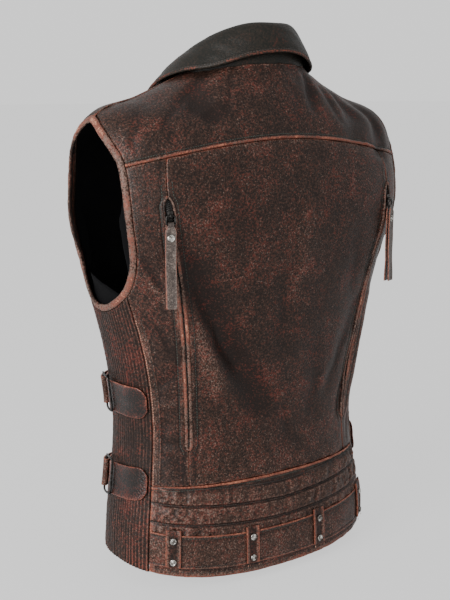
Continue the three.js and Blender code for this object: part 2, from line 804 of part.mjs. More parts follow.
// A bar of square section along a closed path of points, each with its way out
function addBar(name, material, path, size, parent = vest) {
  const count = path.length;
  const sections = path.map(({ point, out }, i) => {
    const along = path[(i + 1) % count].point.clone().sub(path[(i + count - 1) % count].point).normalize();
    const across = new THREE.Vector3().crossVectors(along, out).normalize();
    const outward = new THREE.Vector3().crossVectors(across, along);
    return [[1, 0], [0, 1], [-1, 0], [0, -1]].map(([a, b]) =>
      point.clone().addScaledVector(outward, a * size).addScaledVector(across, b * size));
  });
  return addLoft(name, material, sections, true, parent);
}

for (const [sideName, side] of [['left', 1], ['right', -1]]) {
  for (const strap of straps) {
    const slope = strap.forward / (tabTurns.rear - tabTurns.front);
    const middle = (psi) => strap.z + slope * (tabTurns.rear - psi);
    const turnAt = (s) => tabTurns.front + (tabTurns.rear - tabTurns.front) * s;
    const roundedAt = (s) => Math.max((s - 1) / tabEnd.share + 1, 0) ** tabEnd.power;
    const halfAt = (s) => strap.half * Math.sqrt(1 - tabEnd.cut * roundedAt(s));
    const liftAt = (s) => tabLift.height * Math.max(1 - s / tabLift.share, 0) ** tabLift.power;
    const tabAt = (s, t) => place(turnAt(s), middle(turnAt(s)) + halfAt(s) * (2 * t - 1));
    addPanel(`strap_tab_${strap.name}_${sideName}`, finishes.wornHide(), {
      bottom: steps(cells.tabColumns, (s) => tabAt(s, 0)),
      top: steps(cells.tabColumns, (s) => tabAt(s, 1)),
      left: steps(cells.tabRows, (t) => tabAt(0, t)),
      right: steps(cells.tabRows, (t) => tabAt(1, t)),
    }, { side, rise: (i) => tabLow + liftAt(i / cells.tabColumns) });

    const keeperAt = (s, t) => {
      const psi = keeperTurns.front + (keeperTurns.rear - keeperTurns.front) * s;
      return place(psi, middle(psi) + keeperHalf * (2 * t - 1));
    };
    const keeperColumns = keeperRise.length - 1;
    addPanel(`strap_keeper_${strap.name}_${sideName}`, finishes.hide(), {
      bottom: steps(keeperColumns, (s) => keeperAt(s, 0)),
      top: steps(keeperColumns, (s) => keeperAt(s, 1)),
      left: steps(cells.keeperRows, (t) => keeperAt(0, t)),
      right: steps(cells.keeperRows, (t) => keeperAt(1, t)),
    }, { side, thick: keeperThick, rise: (i) => keeperRise[i] });

    const path = framePath.map(({ u, w }) => {
      const psi = frameTurns.front + (frameTurns.rear - frameTurns.front) * u;
      const at = onSide(side, place(psi, middle(psi) + (strap.half + frameOver) * w));
      const rise = frameRise.front + (frameRise.rear - frameRise.front) * u;
      return { point: skin(at, rise), out: frameAt(at).out };
    });
    addBar(`strap_buckle_${strap.name}_${sideName}`, finishes.gunmetal(), path, frameBar);
  }
}

// Back zips: tape in the slot, a welt round it, slider, and a pull that hangs plumb
const tapeGap = 0.35;
const tapeRise = -0.6;
const tapeThick = 1.6;
const tapeOver = 0.85;
const slotRows = steps(cells.zipRows, (t) => zipSlot.low + (zipSlot.high - zipSlot.low) * t);
const tapeRows = [zipSlot.low - tapeOver, ...slotRows, zipSlot.high + tapeOver];
const weltInner = 0.7;
const weltWidth = 5.2;
const weltThick = 1.8;
const weltLaid = 0.9;
const weltTaper = 0.7;
const weltEnds = { near: 1.05, nearHalf: 2.4, far: 1.35, farHalf: 4.6 };
const sliderHeight = -160;
const sliderWidth = 6;
const sliderRise = tapeRise + 0.4;
const pullRivetRadius = 4.6;
const hingeOut = 5.6;
const hingeHole = 1.9;
const linkDrop = 10;
const linkHalf = 4.6;
const loopRadius = 2.3;
const rivetDrop = 15;
const linkCorner = 1.2;
const strapNeck = { from: 4, run: 18, half: 2.5 };
const nearTailShare = 0.8;

function zipPlace(row, offset) {
  return slideRound(zipLineAt(row), offset);
}

// The slider's side from its foot to its head, with the bridge that the pull's link goes through
const sliderOutline = [
  { out: 0, up: -7 },
  { out: 3.2, up: -7 },
  { out: 3.6, up: -4 },
  { out: 7, up: -3.6 },
  { out: 8.1, up: -2 },
  { out: 8.1, up: 2 },
  { out: 7, up: 3.6 },
  { out: 3.6, up: 4 },
  { out: 3.2, up: 6 },
  { out: 0, up: 6 },
];

function sliderGeometry() {
  const shape = new THREE.Shape(sliderOutline.map(({ out, up }) => new THREE.Vector2(out, up)));
  const hole = new THREE.Path();
  hole.absarc(hingeOut, 0, hingeHole, 0, 2 * Math.PI, true);
  shape.holes.push(hole);
  const extrusion = { depth: sliderWidth, bevelEnabled: false, curveSegments: 4 };
  const geometry = new THREE.ExtrudeGeometry(shape, extrusion);
  return geometry.translate(0, 0, -sliderWidth / 2);
}

function addSlider(name, at, rise) {
  const mesh = new THREE.Mesh(sliderGeometry(), finishes.gunmetal());
  const { round, up, out } = frameAt(at);
  const across = round.clone().normalize();
  const upward = new THREE.Vector3().crossVectors(out, across);
  const third = new THREE.Vector3().crossVectors(out, upward);
  mesh.name = name;
  mesh.position.copy(skin(at, rise));
  mesh.quaternion.setFromRotationMatrix(new THREE.Matrix4().makeBasis(out, upward, third));
  vest.add(mesh);
}

// A plumb group at a slider's bridge: X along the hinge, -Y away from the vest, Z up
function pullGroup(at, rise) {
  const { round, out } = frameAt(at);
  const across = new THREE.Vector3(round.x, round.y, 0).normalize();
  const up = new THREE.Vector3(0, 0, 1);
  const back = new THREE.Vector3().crossVectors(up, across);
  const group = new THREE.Group();
  group.position.copy(skin(at, rise)).addScaledVector(out, hingeOut);
  group.quaternion.setFromRotationMatrix(new THREE.Matrix4().makeBasis(across, back, up));
  vest.add(group);
  return group;
}

// The strap's middle line as [away from the vest, height], from one tail over the link to the other
const tail = [[2.6, -pullStrapLength], [1.5, -62], [1.5, -27], [1.6, -13]];
const overLink = steps(4, (t) => {
  const angle = Math.PI * t;
  return [loopRadius * Math.cos(angle), loopRadius * Math.sin(angle)];
});
const nearTail = tail.map(([away, z]) => [-away * nearTailShare, z]).reverse();
const strapLine = [...tail, ...overLink, ...nearTail];

function addPullStrap(name, group) {
  const sections = strapLine.map(([away, z], i) => {
    const before = strapLine[Math.max(i - 1, 0)];
    const after = strapLine[Math.min(i + 1, strapLine.length - 1)];
    const run = new THREE.Vector2(after[0] - before[0], after[1] - before[1]).normalize();
    const full = Math.min(Math.max((-z - strapNeck.from) / strapNeck.run, 0), 1);
    const half = strapNeck.half * (1 - full) + (pullStrapWidth / 2) * full;
    return [[-1, -1], [1, -1], [1, 1], [-1, 1]].map(([a, b]) => new THREE.Vector3(
      a * half,
      -(away + (b * run.y * pullStrapThick) / 2),
      z - linkDrop - (b * run.x * pullStrapThick) / 2,
    ));
  });
  addLoft(name, finishes.wornHide(), sections, false, group);
}

for (const [name, side] of [['left', 1], ['right', -1]]) {
  const tapeHalf = (row) => slotHalf(row) - tapeGap;
  const tape = (s, row) => onSide(side, zipPlace(row, tapeHalf(row) * (2 * s - 1)));
  const outer = steps(2, (s) => tapeRows.map((row) => skin(tape(s, row), tapeRise)));
  const inner = steps(2, (s) => tapeRows.map((row) => skin(tape(s, row), tapeRise - tapeThick)));
  addWall(`back_zip_${name}`, finishes.gunmetal(), outer, inner);

  const weltRing = (half, ends, endHalf) => {
    return [
      ...slotRows.map((row) => zipPlace(row, half)),
      zipPlace(zipSlot.high + ends, endHalf),
      zipPlace(zipSlot.high + ends, -endHalf),
      ...slotRows.map((row) => zipPlace(row, -half)).reverse(),
      zipPlace(zipSlot.low - ends, -endHalf),
      zipPlace(zipSlot.low - ends, endHalf),
    ].map((at) => onSide(side, at));
  };
  const nearRing = weltRing(zipSlotHalf + weltInner, weltEnds.near, weltEnds.nearHalf);
  const farRing = weltRing(zipSlotHalf + weltInner + weltWidth, weltEnds.far, weltEnds.farHalf);
  const weltSections = nearRing.map((near, i) => [
    skin(near, weltLaid),
    skin(near, weltLaid + weltThick),
    skin(farRing[i], weltLaid + weltThick * weltTaper),
    skin(farRing[i], weltLaid),
  ]);
  addLoft(`back_zip_welt_${name}`, finishes.wornHide(), weltSections, true);

  const sliderAt = onSide(side, place(zipTurnAt(sliderHeight), sliderHeight));
  addSlider(`back_zip_slider_${name}`, sliderAt, sliderRise);
  const group = pullGroup(sliderAt, sliderRise);
  const linkPath = [
    [-linkHalf, -linkCorner],
    [linkCorner - linkHalf, 0],
    [linkHalf - linkCorner, 0],
    [linkHalf, -linkCorner],
    [linkHalf, linkCorner - linkDrop],
    [linkHalf - linkCorner, -linkDrop],
    [linkCorner - linkHalf, -linkDrop],
    [-linkHalf, linkCorner - linkDrop],
  ].map(([x, z]) => ({ point: new THREE.Vector3(x, 0, z), out: new THREE.Vector3(0, -1, 0) }));
  addBar(`pull_link_${name}`, finishes.gunmetal(), linkPath, wireThick / 2, group);
  addPullStrap(`pull_strap_${name}`, group);
  const rivet = new THREE.Mesh(rivetGeometry(pullRivetRadius), finishes.pewter());
  rivet.name = `pull_rivet_${name}`;
  rivet.position.set(0, -(tail[2][0] + pullStrapThick / 2 + seamGap), -linkDrop - rivetDrop);
  rivet.rotation.x = Math.PI / 2;
  group.add(rivet);
}

// Front zip, closed to where the collar opens, with its slider and metal pull
const frontTape = (s, t) => centreFrontAt(t, (zipSlotHalf - tapeGap) * (2 * s - 1));
const frontTapeFoot = 0.004;
const frontTapeRows = steps(frontZipRows, (t, j) => (j ? t : frontTapeFoot));
addWall('front_zip', finishes.gunmetal(),
  steps(2, (s) => frontTapeRows.map((t) => skin(frontTape(s, t), tapeRise))),
  steps(2, (s) => frontTapeRows.map((t) => skin(frontTape(s, t), tapeRise - tapeThick))));
const frontSliderDrop = 9;
const frontSliderAt = place(-90, breakHeight - frontSliderDrop);
addSlider('front_zip_slider', frontSliderAt, sliderRise);
const frontPullGroup = pullGroup(frontSliderAt, sliderRise);
const plateHalf = [
  { half: 5.3, up: 1 },
  { half: 5.3, up: -9 },
  { half: 3.6, up: -14 },
  { half: 3.6, up: -34 },
  { half: 2, up: -37 },
];
const plateHole = [
  { half: 3.7, up: -0.8 },
  { half: 3.7, up: -8 },
];

// A closed outline from the rows of one half, mirrored
function mirrored(rows) {
  return [
    ...rows.map(({ half, up }) => new THREE.Vector2(-half, up)),
    ...rows.map(({ half, up }) => new THREE.Vector2(half, up)).reverse(),
  ];
}

const pullPlate = new THREE.Shape(mirrored(plateHalf));
pullPlate.holes.push(new THREE.Path(mirrored(plateHole)));
const plateGeometry = new THREE.ExtrudeGeometry(pullPlate, { depth: wireThick, bevelEnabled: false });
plateGeometry.translate(0, 0, -wireThick / 2).rotateX(Math.PI / 2);
const plate = new THREE.Mesh(plateGeometry, finishes.pewter());
plate.name = 'front_zip_pull';
frontPullGroup.add(plate);

// Collar: a stand from the neck edge up to the roll, and a leaf that falls outside it
const stations = [
  ...collarStations.slice(1).reverse().map(({ psi, roll, edge }) => ({
    psi: 180 - psi,
    roll: [-roll[0], roll[1], roll[2]],
    edge: [-edge[0], edge[1], edge[2]],
  })),
  ...collarStations,
];

function collarAt(t) {
  const last = stations.length - 1;
  const i = Math.min(Math.floor(t * last), last - 1);
  const [p, q, r, s] = [i - 1, i, i + 1, i + 2].map((k) => stations[Math.min(Math.max(k, 0), last)]);
  const local = t * last - i;
  const mixed = (key) => new THREE.Vector3(
    ...[0, 1, 2].map((k) => between(p[key][k], q[key][k], r[key][k], s[key][k], local)),
  );
  return { psi: between(p.psi, q.psi, r.psi, s.psi, local), roll: mixed('roll'), edge: mixed('edge') };
}

// The neck edge under the collar: the neck ring behind, the open edge in front
function neckEdgeAt(psi) {
  if (psi >= 0 && psi <= 180) {
    return { psi, v: neckRing };
  }
  const turn = psi < 0 ? psi : 180 - psi;
  const last = neckOpening.length - 1;
  let k = last;
  while (k > 1 && neckOpening[k - 1].psi > turn) {
    k--;
  }
  const row = k - (neckOpening[k].psi - turn) / (neckOpening[k].psi - neckOpening[k - 1].psi);
  return onSide(psi < 0 ? 1 : -1, openingAt(row));
}

// The same grid moved inwards by a thickness, along its own surface's way in
function innerGrid(grid, thick, inside) {
  const columns = grid.length - 1;
  const rows = grid[0].length - 1;
  return grid.map((column, i) => column.map((point, j) => {
    const across = grid[Math.min(i + 1, columns)][j].clone().sub(grid[Math.max(i - 1, 0)][j]);
    const along = grid[i][Math.min(j + 1, rows)].clone().sub(grid[i][Math.max(j - 1, 0)]);
    const way = new THREE.Vector3().crossVectors(across, along).normalize();
    if (way.dot(inside(i, j)) < 0) {
      way.negate();
    }
    return point.clone().addScaledVector(way, thick);
  }));
}

const standClear = 0.7;
const collarTurns = steps(cells.collarColumns, (t) => collarAt(t));
const standGrid = collarTurns.map(({ psi, roll }) => {
  const base = skin(neckEdgeAt(psi));
  base.z += standClear;
  return steps(cells.standRows, (t) => base.clone().lerp(roll, t));
});
const towardAxis = (grid) => (i, j) => new THREE.Vector3(-grid[i][j].x, -grid[i][j].y, 0);
const standInner = innerGrid(standGrid, leather, towardAxis(standGrid));
standInner.forEach((column, i) => {
  column[0].z = standGrid[i][0].z;
});
addWall('collar_stand', finishes.darkHide(), standGrid, standInner);

const rollIn = 1.6;
const rollOut = 11;
const rollUp = 6;
const rollEase = 1.3;
const fallWays = collarTurns.map(({ roll, edge }, i) => {
  const before = collarTurns[Math.max(i - 1, 0)].roll;
  const after = collarTurns[Math.min(i + 1, collarTurns.length - 1)].roll;
  const along = after.clone().sub(before).normalize();
  const outward = new THREE.Vector3(edge.x - roll.x, edge.y - roll.y, 0).normalize();
  const over = new THREE.Vector3().crossVectors(outward, along).normalize();
  return { outward, over: over.z < 0 ? over.negate() : over };
});
const fallGrid = collarTurns.map(({ roll, edge }, i) => {
  const { outward, over } = fallWays[i];
  const start = roll.clone().addScaledVector(outward, -rollIn).addScaledVector(over, leather + standClear);
  const turn = roll.clone().addScaledVector(outward, rollOut).addScaledVector(over, rollUp);
  const curve = new THREE.QuadraticBezierCurve3(start, turn, edge);
  return steps(cells.fallRows, (t) => curve.getPoint(t ** rollEase));
});
const fallInside = (i) => fallWays[i].outward.clone().add(fallWays[i].over).negate();
addWall('collar_fall', finishes.hide(), fallGrid, innerGrid(fallGrid, leather, fallInside));

// Lapels, turned back along the open neck edge
const lapelFold = { from: 0.05, run: 3.65, inset: 1 };
const lapelWidth = { foot: 5, top: 58, share: 0.86 };

function lapelPlace(t, width) {
  return slideRound(openingAt(lapelFold.from + lapelFold.run * t), width);
}

function lapelWidthAt(t) {
  return lapelWidth.foot + lapelWidth.top * Math.sin((Math.min(t / lapelWidth.share, 1) * Math.PI) / 2);
}

const lapelEdges = {
  left: steps(cells.lapelRows, (t) => lapelPlace(t, lapelFold.inset)),
  right: steps(cells.lapelRows, (t) => lapelPlace(t, lapelWidthAt(t))),
};
const lapelAcross = (row) => steps(cells.lapelColumns, (s) => (
  mixPlace(lapelEdges.left[row], lapelEdges.right[row], s)
));
lapelEdges.bottom = lapelAcross(0);
lapelEdges.top = lapelAcross(cells.lapelRows);
const lapelLaid = 0.9;
for (const [name, side] of [['left', 1], ['right', -1]]) {
  addPanel(`lapel_${name}`, finishes.hide(), lapelEdges, { side, rise: lapelLaid + leather });
}

// Lining inside back and fronts
const liningRise = -leather - liningDrop;
const liningTopSlack = 1;
const liningHem = 0.16;
const liningEdge = 5.5;
const liningZipInset = 9;
const liningZipTop = 0.97;
const liningSeamTop = 0.985;
const { liningSideRows, liningZipRows } = cells;

// The lining is sewn in at its side seams and hem, and hangs free between them
function liningFree(columns, rows) {
  return (i, j) => {
    if (j === 0 || (j <= liningSideRows && (i === 0 || i === columns))) {
      return liningRise;
    }
    return liningRise - (j === rows ? liningTopSlack : liningSlack);
  };
}

const liningArmholeAt = (a) => nudge(armholeAt(a), armholeAway(a), bindingHalfWidth + liningEdge);
const liningSide = steps(liningSideRows, (t) => {
  const at = sideSeamAt(t * liningSeamTop);
  return { psi: at.psi, v: Math.max(at.v, liningHem) };
});
liningSide[0] = { psi: sideSeamTurn, v: liningHem };
liningSide[liningSideRows] = liningArmholeAt(armholeSideBack);
const liningShoulder = liningArmholeAt(0);
const neckUnder = 0.02;
const neckTop = neckRing - neckUnder;
const liningArmRows = cells.liningRows - liningSideRows;
const liningBackLeft = [
  ...liningSide,
  ...steps(liningArmRows, (t) => liningArmholeAt(armholeSideBack * (1 - t))).slice(1),
];
const liningNeckSide = { psi: 0, v: neckTop };
const liningShoulderSeam = [0, 0.5].map((t) => mixPlace(liningShoulder, liningNeckSide, t));
const liningTop = [
  ...liningShoulderSeam,
  ...steps(cells.liningColumns - 4, (t) => ({ psi: 180 * t, v: neckTop })),
  ...liningShoulderSeam.map((at) => onSide(-1, at)).reverse(),
];
addPanel('lining_back', finishes.lining(), {
  bottom: steps(cells.liningColumns, (t) => mixPlace(liningSide[0], onSide(-1, liningSide[0]), t)),
  top: liningTop,
  left: liningBackLeft,
  right: liningBackLeft.map((at) => onSide(-1, at)),
}, { rise: liningFree(cells.liningColumns, cells.liningRows), thick: liningCloth });

const liningFrontOuter = [
  ...liningSide,
  ...steps(liningArmRows, (t) => (
    liningArmholeAt(armholeSideBack + (armholeCount - armholeSideBack) * t)
  )).slice(1),
];
const liningFrontInner = steps(cells.liningRows, (t, j) => {
  if (j === 0) {
    return { psi: centreFrontAt(0, zipSlotHalf + liningZipInset).psi, v: liningHem };
  }
  if (j <= liningZipRows) {
    return centreFrontAt((j / liningZipRows) * liningZipTop, zipSlotHalf + liningZipInset);
  }
  if (j === cells.liningRows) {
    return { psi: 0, v: neckTop };
  }
  const row = ((neckOpening.length - 1) * (j - liningZipRows)) / (cells.liningRows - liningZipRows);
  return slideRound(openingAt(row), liningZipInset);
});
for (const [name, side] of [['left', 1], ['right', -1]]) {
  addPanel(`lining_front_${name}`, finishes.lining(), {
    bottom: steps(cells.liningFrontColumns, (t) => mixPlace(liningFrontInner[0], liningSide[0], t)),
    top: steps(cells.liningFrontColumns, (t) => mixPlace(liningNeckSide, liningShoulder, t)),
    left: liningFrontInner,
    right: liningFrontOuter,
  }, { side, rise: liningFree(cells.liningFrontColumns, cells.liningRows), thick: liningCloth });
}

export default vest;
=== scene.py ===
import math
import bpy
import bmesh
import numpy as np
from mathutils import Matrix, Vector


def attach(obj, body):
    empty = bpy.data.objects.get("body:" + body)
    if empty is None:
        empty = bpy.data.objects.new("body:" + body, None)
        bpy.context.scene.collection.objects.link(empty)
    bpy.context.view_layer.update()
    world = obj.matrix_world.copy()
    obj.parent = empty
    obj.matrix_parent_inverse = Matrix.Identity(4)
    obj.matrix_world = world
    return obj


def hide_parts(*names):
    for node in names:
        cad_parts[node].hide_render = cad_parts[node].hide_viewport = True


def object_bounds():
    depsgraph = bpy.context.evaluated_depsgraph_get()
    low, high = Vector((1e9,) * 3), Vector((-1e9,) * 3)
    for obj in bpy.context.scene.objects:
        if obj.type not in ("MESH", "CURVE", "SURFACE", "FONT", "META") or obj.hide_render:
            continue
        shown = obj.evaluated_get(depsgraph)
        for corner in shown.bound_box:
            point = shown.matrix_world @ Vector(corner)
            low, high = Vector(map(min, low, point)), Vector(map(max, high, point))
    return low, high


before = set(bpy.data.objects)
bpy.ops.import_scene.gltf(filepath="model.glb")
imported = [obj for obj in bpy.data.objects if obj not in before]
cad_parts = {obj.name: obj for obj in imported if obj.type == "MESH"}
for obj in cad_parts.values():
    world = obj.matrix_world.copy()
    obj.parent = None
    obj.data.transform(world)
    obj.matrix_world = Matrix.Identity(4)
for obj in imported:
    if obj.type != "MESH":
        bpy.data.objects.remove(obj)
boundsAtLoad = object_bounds()
print("frame loaded:", len(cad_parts), "nodes")

millimetre = 0.001
body = "vest"


def table(columns, rows):
    return [dict(zip(columns.split(), row)) for row in rows]


# Rings round the worn body from hem to neck, in millimetres: heights at the side, centre back and
# centre front, half the width, depth behind and in front, and how square the ring is
rings = table("zSide zBack zFront half back front square", [
    (-604, -620, -600, 186, 106, 122, 2.4),
    (-556, -564, -552, 184, 104, 116, 2.4),
    (-496, -500, -494, 177, 93, 114, 2.35),
    (-425, -428, -425, 174, 90, 113, 2.3),
    (-335, -335, -335, 186, 104, 118, 2.3),
    (-245, -245, -245, 209, 116, 124, 2.4),
    (-150, -165, -172, 231, 121, 118, 2.7),
    (-54, -88, -112, 215, 108, 98, 2.5),
    (-25, -36, -66, 148, 95, 82, 2.1),
    (0, 12, -32, 86, 78, 64, 2),
])
neckRing = len(rings) - 1
ringRows = np.array([list(ring.values()) for ring in rings], float)
ringRows = np.vstack([2 * ringRows[0] - ringRows[1], ringRows, 2 * ringRows[-1] - ringRows[-2]])

# The form's own sizes, the same as the frame's
form = {
    "leather": 2.2, "seamGap": 0.3, "zipSlotHalf": 4.2, "bindingHalfWidth": 4.2,
    "bindingDepth": 0.7, "bindingGap": 0.5, "ribCount": 24, "ringDip": 0.75, "foldScale": 3.2,
    "foldEndShare": 0.55, "armholeYoke": 3, "armholeSideBack": 7, "armholeSideFront": 10.6,
    "sideSeamTurn": 27, "zipTurn": 47, "yokeEndHeight": -107, "yokeArch": 30, "yokeEndTurn": 31,
    "yokeArchPower": 1.1, "kidneyHeight": -500, "kidneyBottom": -569, "kidneyDipShare": 0.8,
    "beltTopSide": -554.5, "beltHeight": 42, "backDip": 11, "seamBendFrom": 0.35, "seamBendPower": 1.6,
    "frontSeamTurn": -36, "frontSeamBend": 2.2, "breakHeight": -215,
}
# Round the left armhole from the shoulder backwards, and up the open neck to its side: psi and z
armholeRows = np.array([
    (3, -53), (15, -66), (25, -85), (31, -107), (33.5, -150), (33, -190), (29.5, -226), (21.5, -256),
    (7, -275), (-8, -279), (-20, -264), (-28, -228), (-33.5, -180), (-34.5, -140), (-29.5, -106),
    (-20, -80), (-8.5, -60),
], float)
zipTurnRows = {"z": [-500, -440, -350, -260, -165, -97], "psi": [47.5, 47, 46.4, 47.2, 48.4, 47]}
neckRows = np.array([
    (-88, -215), (-84, -168), (-78.5, -122), (-70, -84), (-57, -50), (-34, -22), (0, 0),
], float)

# Soft folds, a trough or a ridge from one place to another, large ones first
folds = table("psi z toPsi toZ width rise", [
    (53, -225, 66, -345, 16, -4.5), (64, -330, 80, -405, 17, -4), (46, -250, 60, -370, 15, 2.4),
    (140, -290, 141, -440, 13, 3), (30, -10, 58, -50, 10, -3), (118, -6, 108, -40, 9, -2.6),
    (140, -26, 122, -68, 10, -3), (146, -48, 131, -98, 11, -3), (-58, -250, -66, -350, 17, -3.5),
    (-122, -270, -116, -370, 16, -3),
])
# Smaller creases, as uneven as the leather shows, with like ones where the photograph doesn't reach
creases = table("psi z toPsi toZ width rise", [
    (56.5, -250, 63, -325, 9, -1.2), (62, -315, 72, -372, 10, -1.3), (57.5, -300, 66, -352, 7, 0.7),
    (52, -205, 55, -250, 7, -1.0), (34, -205, 43, -262, 8, -1.6), (36, -238, 45, -300, 6, 1.1),
    (31, -290, 42, -345, 9, -1.3), (30, -372, 42, -352, 7, -1.2), (29, -398, 44, -392, 6, 1.0),
    (29, -420, 43, -448, 7, -1.3), (33, -462, 44, -484, 6, -0.9), (70, -110, 74, -185, 12, -0.9),
    (84, -250, 88, -330, 14, -1.2), (96, -160, 92, -250, 13, 1.0), (104, -330, 110, -430, 13, -1.4),
    (90, -420, 99, -470, 10, -1.0), (116, -210, 122, -300, 12, -1.3), (126, -300, 118, -395, 10, -1.8),
    (134, -340, 128, -440, 7, -1.6), (147, -300, 150, -420, 8, -1.5), (150, -210, 141, -262, 8, -1.4),
    (145, -440, 138, -485, 6, -1.2), (34, -20, 48, -75, 8, -1.6), (42, -14, 62, -62, 5, 1.3),
    (54, -8, 66, -46, 6, -1.4), (24, -36, 38, -80, 7, -1.2), (96, 2, 99, -46, 8, -0.9),
    (128, -14, 118, -56, 5, -1.7), (136, -8, 127, -40, 5, 1.2), (150, -34, 139, -76, 6, -1.6),
    (156, -44, 150, -86, 5, 1.2), (-46, -300, -58, -380, 8, -1.6), (-50, -230, -62, -300, 7, 1.3),
    (-74, -280, -66, -420, 12, -1.4), (-42, -420, -60, -470, 10, -1.5), (-56, -520, -72, -545, 9, -1.2),
    (-44, -150, -56, -205, 9, -1.5), (-134, -230, -122, -312, 8, -1.6), (-138, -330, -120, -392, 7, -1.4),
    (-104, -300, -112, -430, 13, -1.3), (-140, -440, -118, -470, 9, -1.3),
    (-112, -515, -126, -552, 9, -1.3), (-136, -150, -124, -212, 9, -1.4),
])

# The last three values paint the folds into the leather's colour: troughs darker as painted shade, ridges
# paler as painted highlight and rubbing
foldLook = {"foldDepth": 2.2, "creaseDepth": 1.3, "toneShift": 0.075, "darkest": -0.5, "palest": 0.15}


def between(a, b, c, d, t):
    bend = (2 * a - 5 * b + 4 * c - d) * t ** 2 + (3 * b - a - 3 * c + d) * t ** 3
    return b + ((c - a) * t + bend) / 2


def clothNoise(x, y, seed):
    lattice = np.random.default_rng(seed).uniform(-1, 1, (64, 64))
    x, y = np.broadcast_arrays(np.asarray(x, float), np.asarray(y, float))
    xi, yi = np.floor(x).astype(int), np.floor(y).astype(int)
    fx, fy = x - xi, y - yi
    fx, fy = fx * fx * (3 - 2 * fx), fy * fy * (3 - 2 * fy)
    left, right, below, above = xi % 64, (xi + 1) % 64, yi % 64, (yi + 1) % 64
    low = lattice[left, below] * (1 - fx) + lattice[right, below] * fx
    high = lattice[left, above] * (1 - fx) + lattice[right, above] * fx
    return low * (1 - fy) + high * fy


def basePoint(psi, v):
    psi, v = np.broadcast_arrays(np.asarray(psi, float), np.asarray(v, float))
    i = np.clip(np.floor(v).astype(int), 0, neckRing - 1)
    t = (v - i)[..., None]
    ring = between(ringRows[i], ringRows[i + 1], ringRows[i + 2], ringRows[i + 3], t)
    zSide, zBack, zFront, half, back, front, square = np.moveaxis(ring, -1, 0)
    c, s = np.cos(np.radians(psi)), np.sin(np.radians(psi))
    reach = (np.abs(c) ** square + np.abs(s) ** square) ** (-1 / square)
    lift = np.abs(s * reach) ** (form["ringDip"] * square)
    end, depth = np.where(s >= 0, zBack, zFront), np.where(s >= 0, back, front)
    return np.stack([half * reach * c, depth * reach * s, zSide * (1 - lift) + end * lift], -1)


def alongLine(rows, psi, z):
    rise = np.zeros_like(z)
    for row in rows:
        runX, runZ = (row["toPsi"] - row["psi"]) * form["foldScale"], row["toZ"] - row["z"]
        x, up = ((psi - row["psi"] + 180) % 360 - 180) * form["foldScale"], z - row["z"]
        near = np.clip((x * runX + up * runZ) / (runX * runX + runZ * runZ), 0, 1)
        away = np.hypot(x - near * runX, up - near * runZ) / row["width"]
        fade = form["foldEndShare"] + (1 - form["foldEndShare"]) * np.sin(near * np.pi)
        rise += row["rise"] * np.exp(-away * away) * fade
    return rise


def unit(vectors):
    return vectors / np.maximum(np.linalg.norm(vectors, axis=-1, keepdims=True), 1e-9)


# The form at a place: its point, its directions round and up, and out of it
def formFrame(at):
    psi, v = at[..., 0], at[..., 1]
    point = basePoint(psi, v)
    around = basePoint(psi + 0.5, v) - basePoint(psi - 0.5, v)
    up = (basePoint(psi, v + 0.01) - basePoint(psi, v - 0.01)) * 50
    return point, around, up, unit(np.cross(around, up))


# The scene's folds are as deep as the photograph shows, a little deeper than the frame's
def foldRise(psi, z):
    bend = clothNoise(psi / 11, z / 40, 5) * 1.3
    return foldLook["foldDepth"] * alongLine(folds, psi + bend, z)


def creaseRise(psi, z):
    bend = clothNoise(psi / 9, z / 26, 3) * 2.2
    return foldLook["creaseDepth"] * alongLine(creases, psi + bend, z + 4 * bend)


def foldedSkin(at, rise=0.0, creased=1.0):
    point, _, _, out = formFrame(at)
    psi, z = at[..., 0], point[..., 2]
    raised = rise + foldRise(psi, z) + creased * creaseRise(psi, z)
    return point + out * raised[..., None]


def pair(psi, v):
    return np.stack(np.broadcast_arrays(psi, v), -1)


def place(psi, z):
    psi, z = np.broadcast_arrays(np.asarray(psi, float), np.asarray(z, float))
    low, high = np.zeros_like(z), np.full_like(z, neckRing)
    for _ in range(30):
        middle = (low + high) / 2
        under = basePoint(psi, middle)[..., 2] < z
        low, high = np.where(under, middle, low), np.where(under, high, middle)
    return pair(psi, (low + high) / 2)


def nudge(at, direction, distance):
    _, around, up, _ = formFrame(at)
    rr, ru, uu = (around * around).sum(-1), (around * up).sum(-1), (up * up).sum(-1)
    r, u = (around * direction).sum(-1), (up * direction).sum(-1)
    det = rr * uu - ru * ru
    psi = at[..., 0] + distance * (r * uu - u * ru) / det
    return pair(psi, at[..., 1] + distance * (u * rr - r * ru) / det)


def slideRound(at, distance):
    _, around, _, _ = formFrame(at)
    return pair(at[..., 0] + distance / np.linalg.norm(around, axis=-1), at[..., 1])


def mirror(at):
    return pair(180 - at[..., 0], at[..., 1])


def onSide(side, at):
    return at if side > 0 else mirror(at)


def mix(a, b, t):
    return a + (b - a) * np.asarray(t)[..., None]


def rowsAt(rows, a, closed):
    last = len(rows) - 1
    i = np.floor(a).astype(int) if closed else np.clip(np.floor(a).astype(int), 0, last - 1)
    around = [(i + k) % len(rows) if closed else np.clip(i + k, 0, last) for k in (-1, 0, 1, 2)]
    return between(*(rows[k] for k in around), (a - i)[..., None])


def armholeAt(a):
    row = rowsAt(armholeRows, np.asarray(a, float), True)
    return place(row[..., 0], row[..., 1])


def armholeAway(a):
    along = foldedSkin(armholeAt(a + 0.05), creased=0) - foldedSkin(armholeAt(a - 0.05), creased=0)
    return unit(np.cross(formFrame(armholeAt(a))[3], along))


def panelEdge(a):
    a = np.asarray(a, float)
    return nudge(armholeAt(a), armholeAway(a), form["bindingHalfWidth"] + form["bindingGap"])


def backArch(psi):
    return np.sin((psi - form["sideSeamTurn"]) / (180 - 2 * form["sideSeamTurn"]) * np.pi)


def yokeHeight(psi):
    arch = np.sin((psi - form["yokeEndTurn"]) / (180 - 2 * form["yokeEndTurn"]) * np.pi)
    return form["yokeEndHeight"] + form["yokeArch"] * np.maximum(arch, 0) ** form["yokeArchPower"]


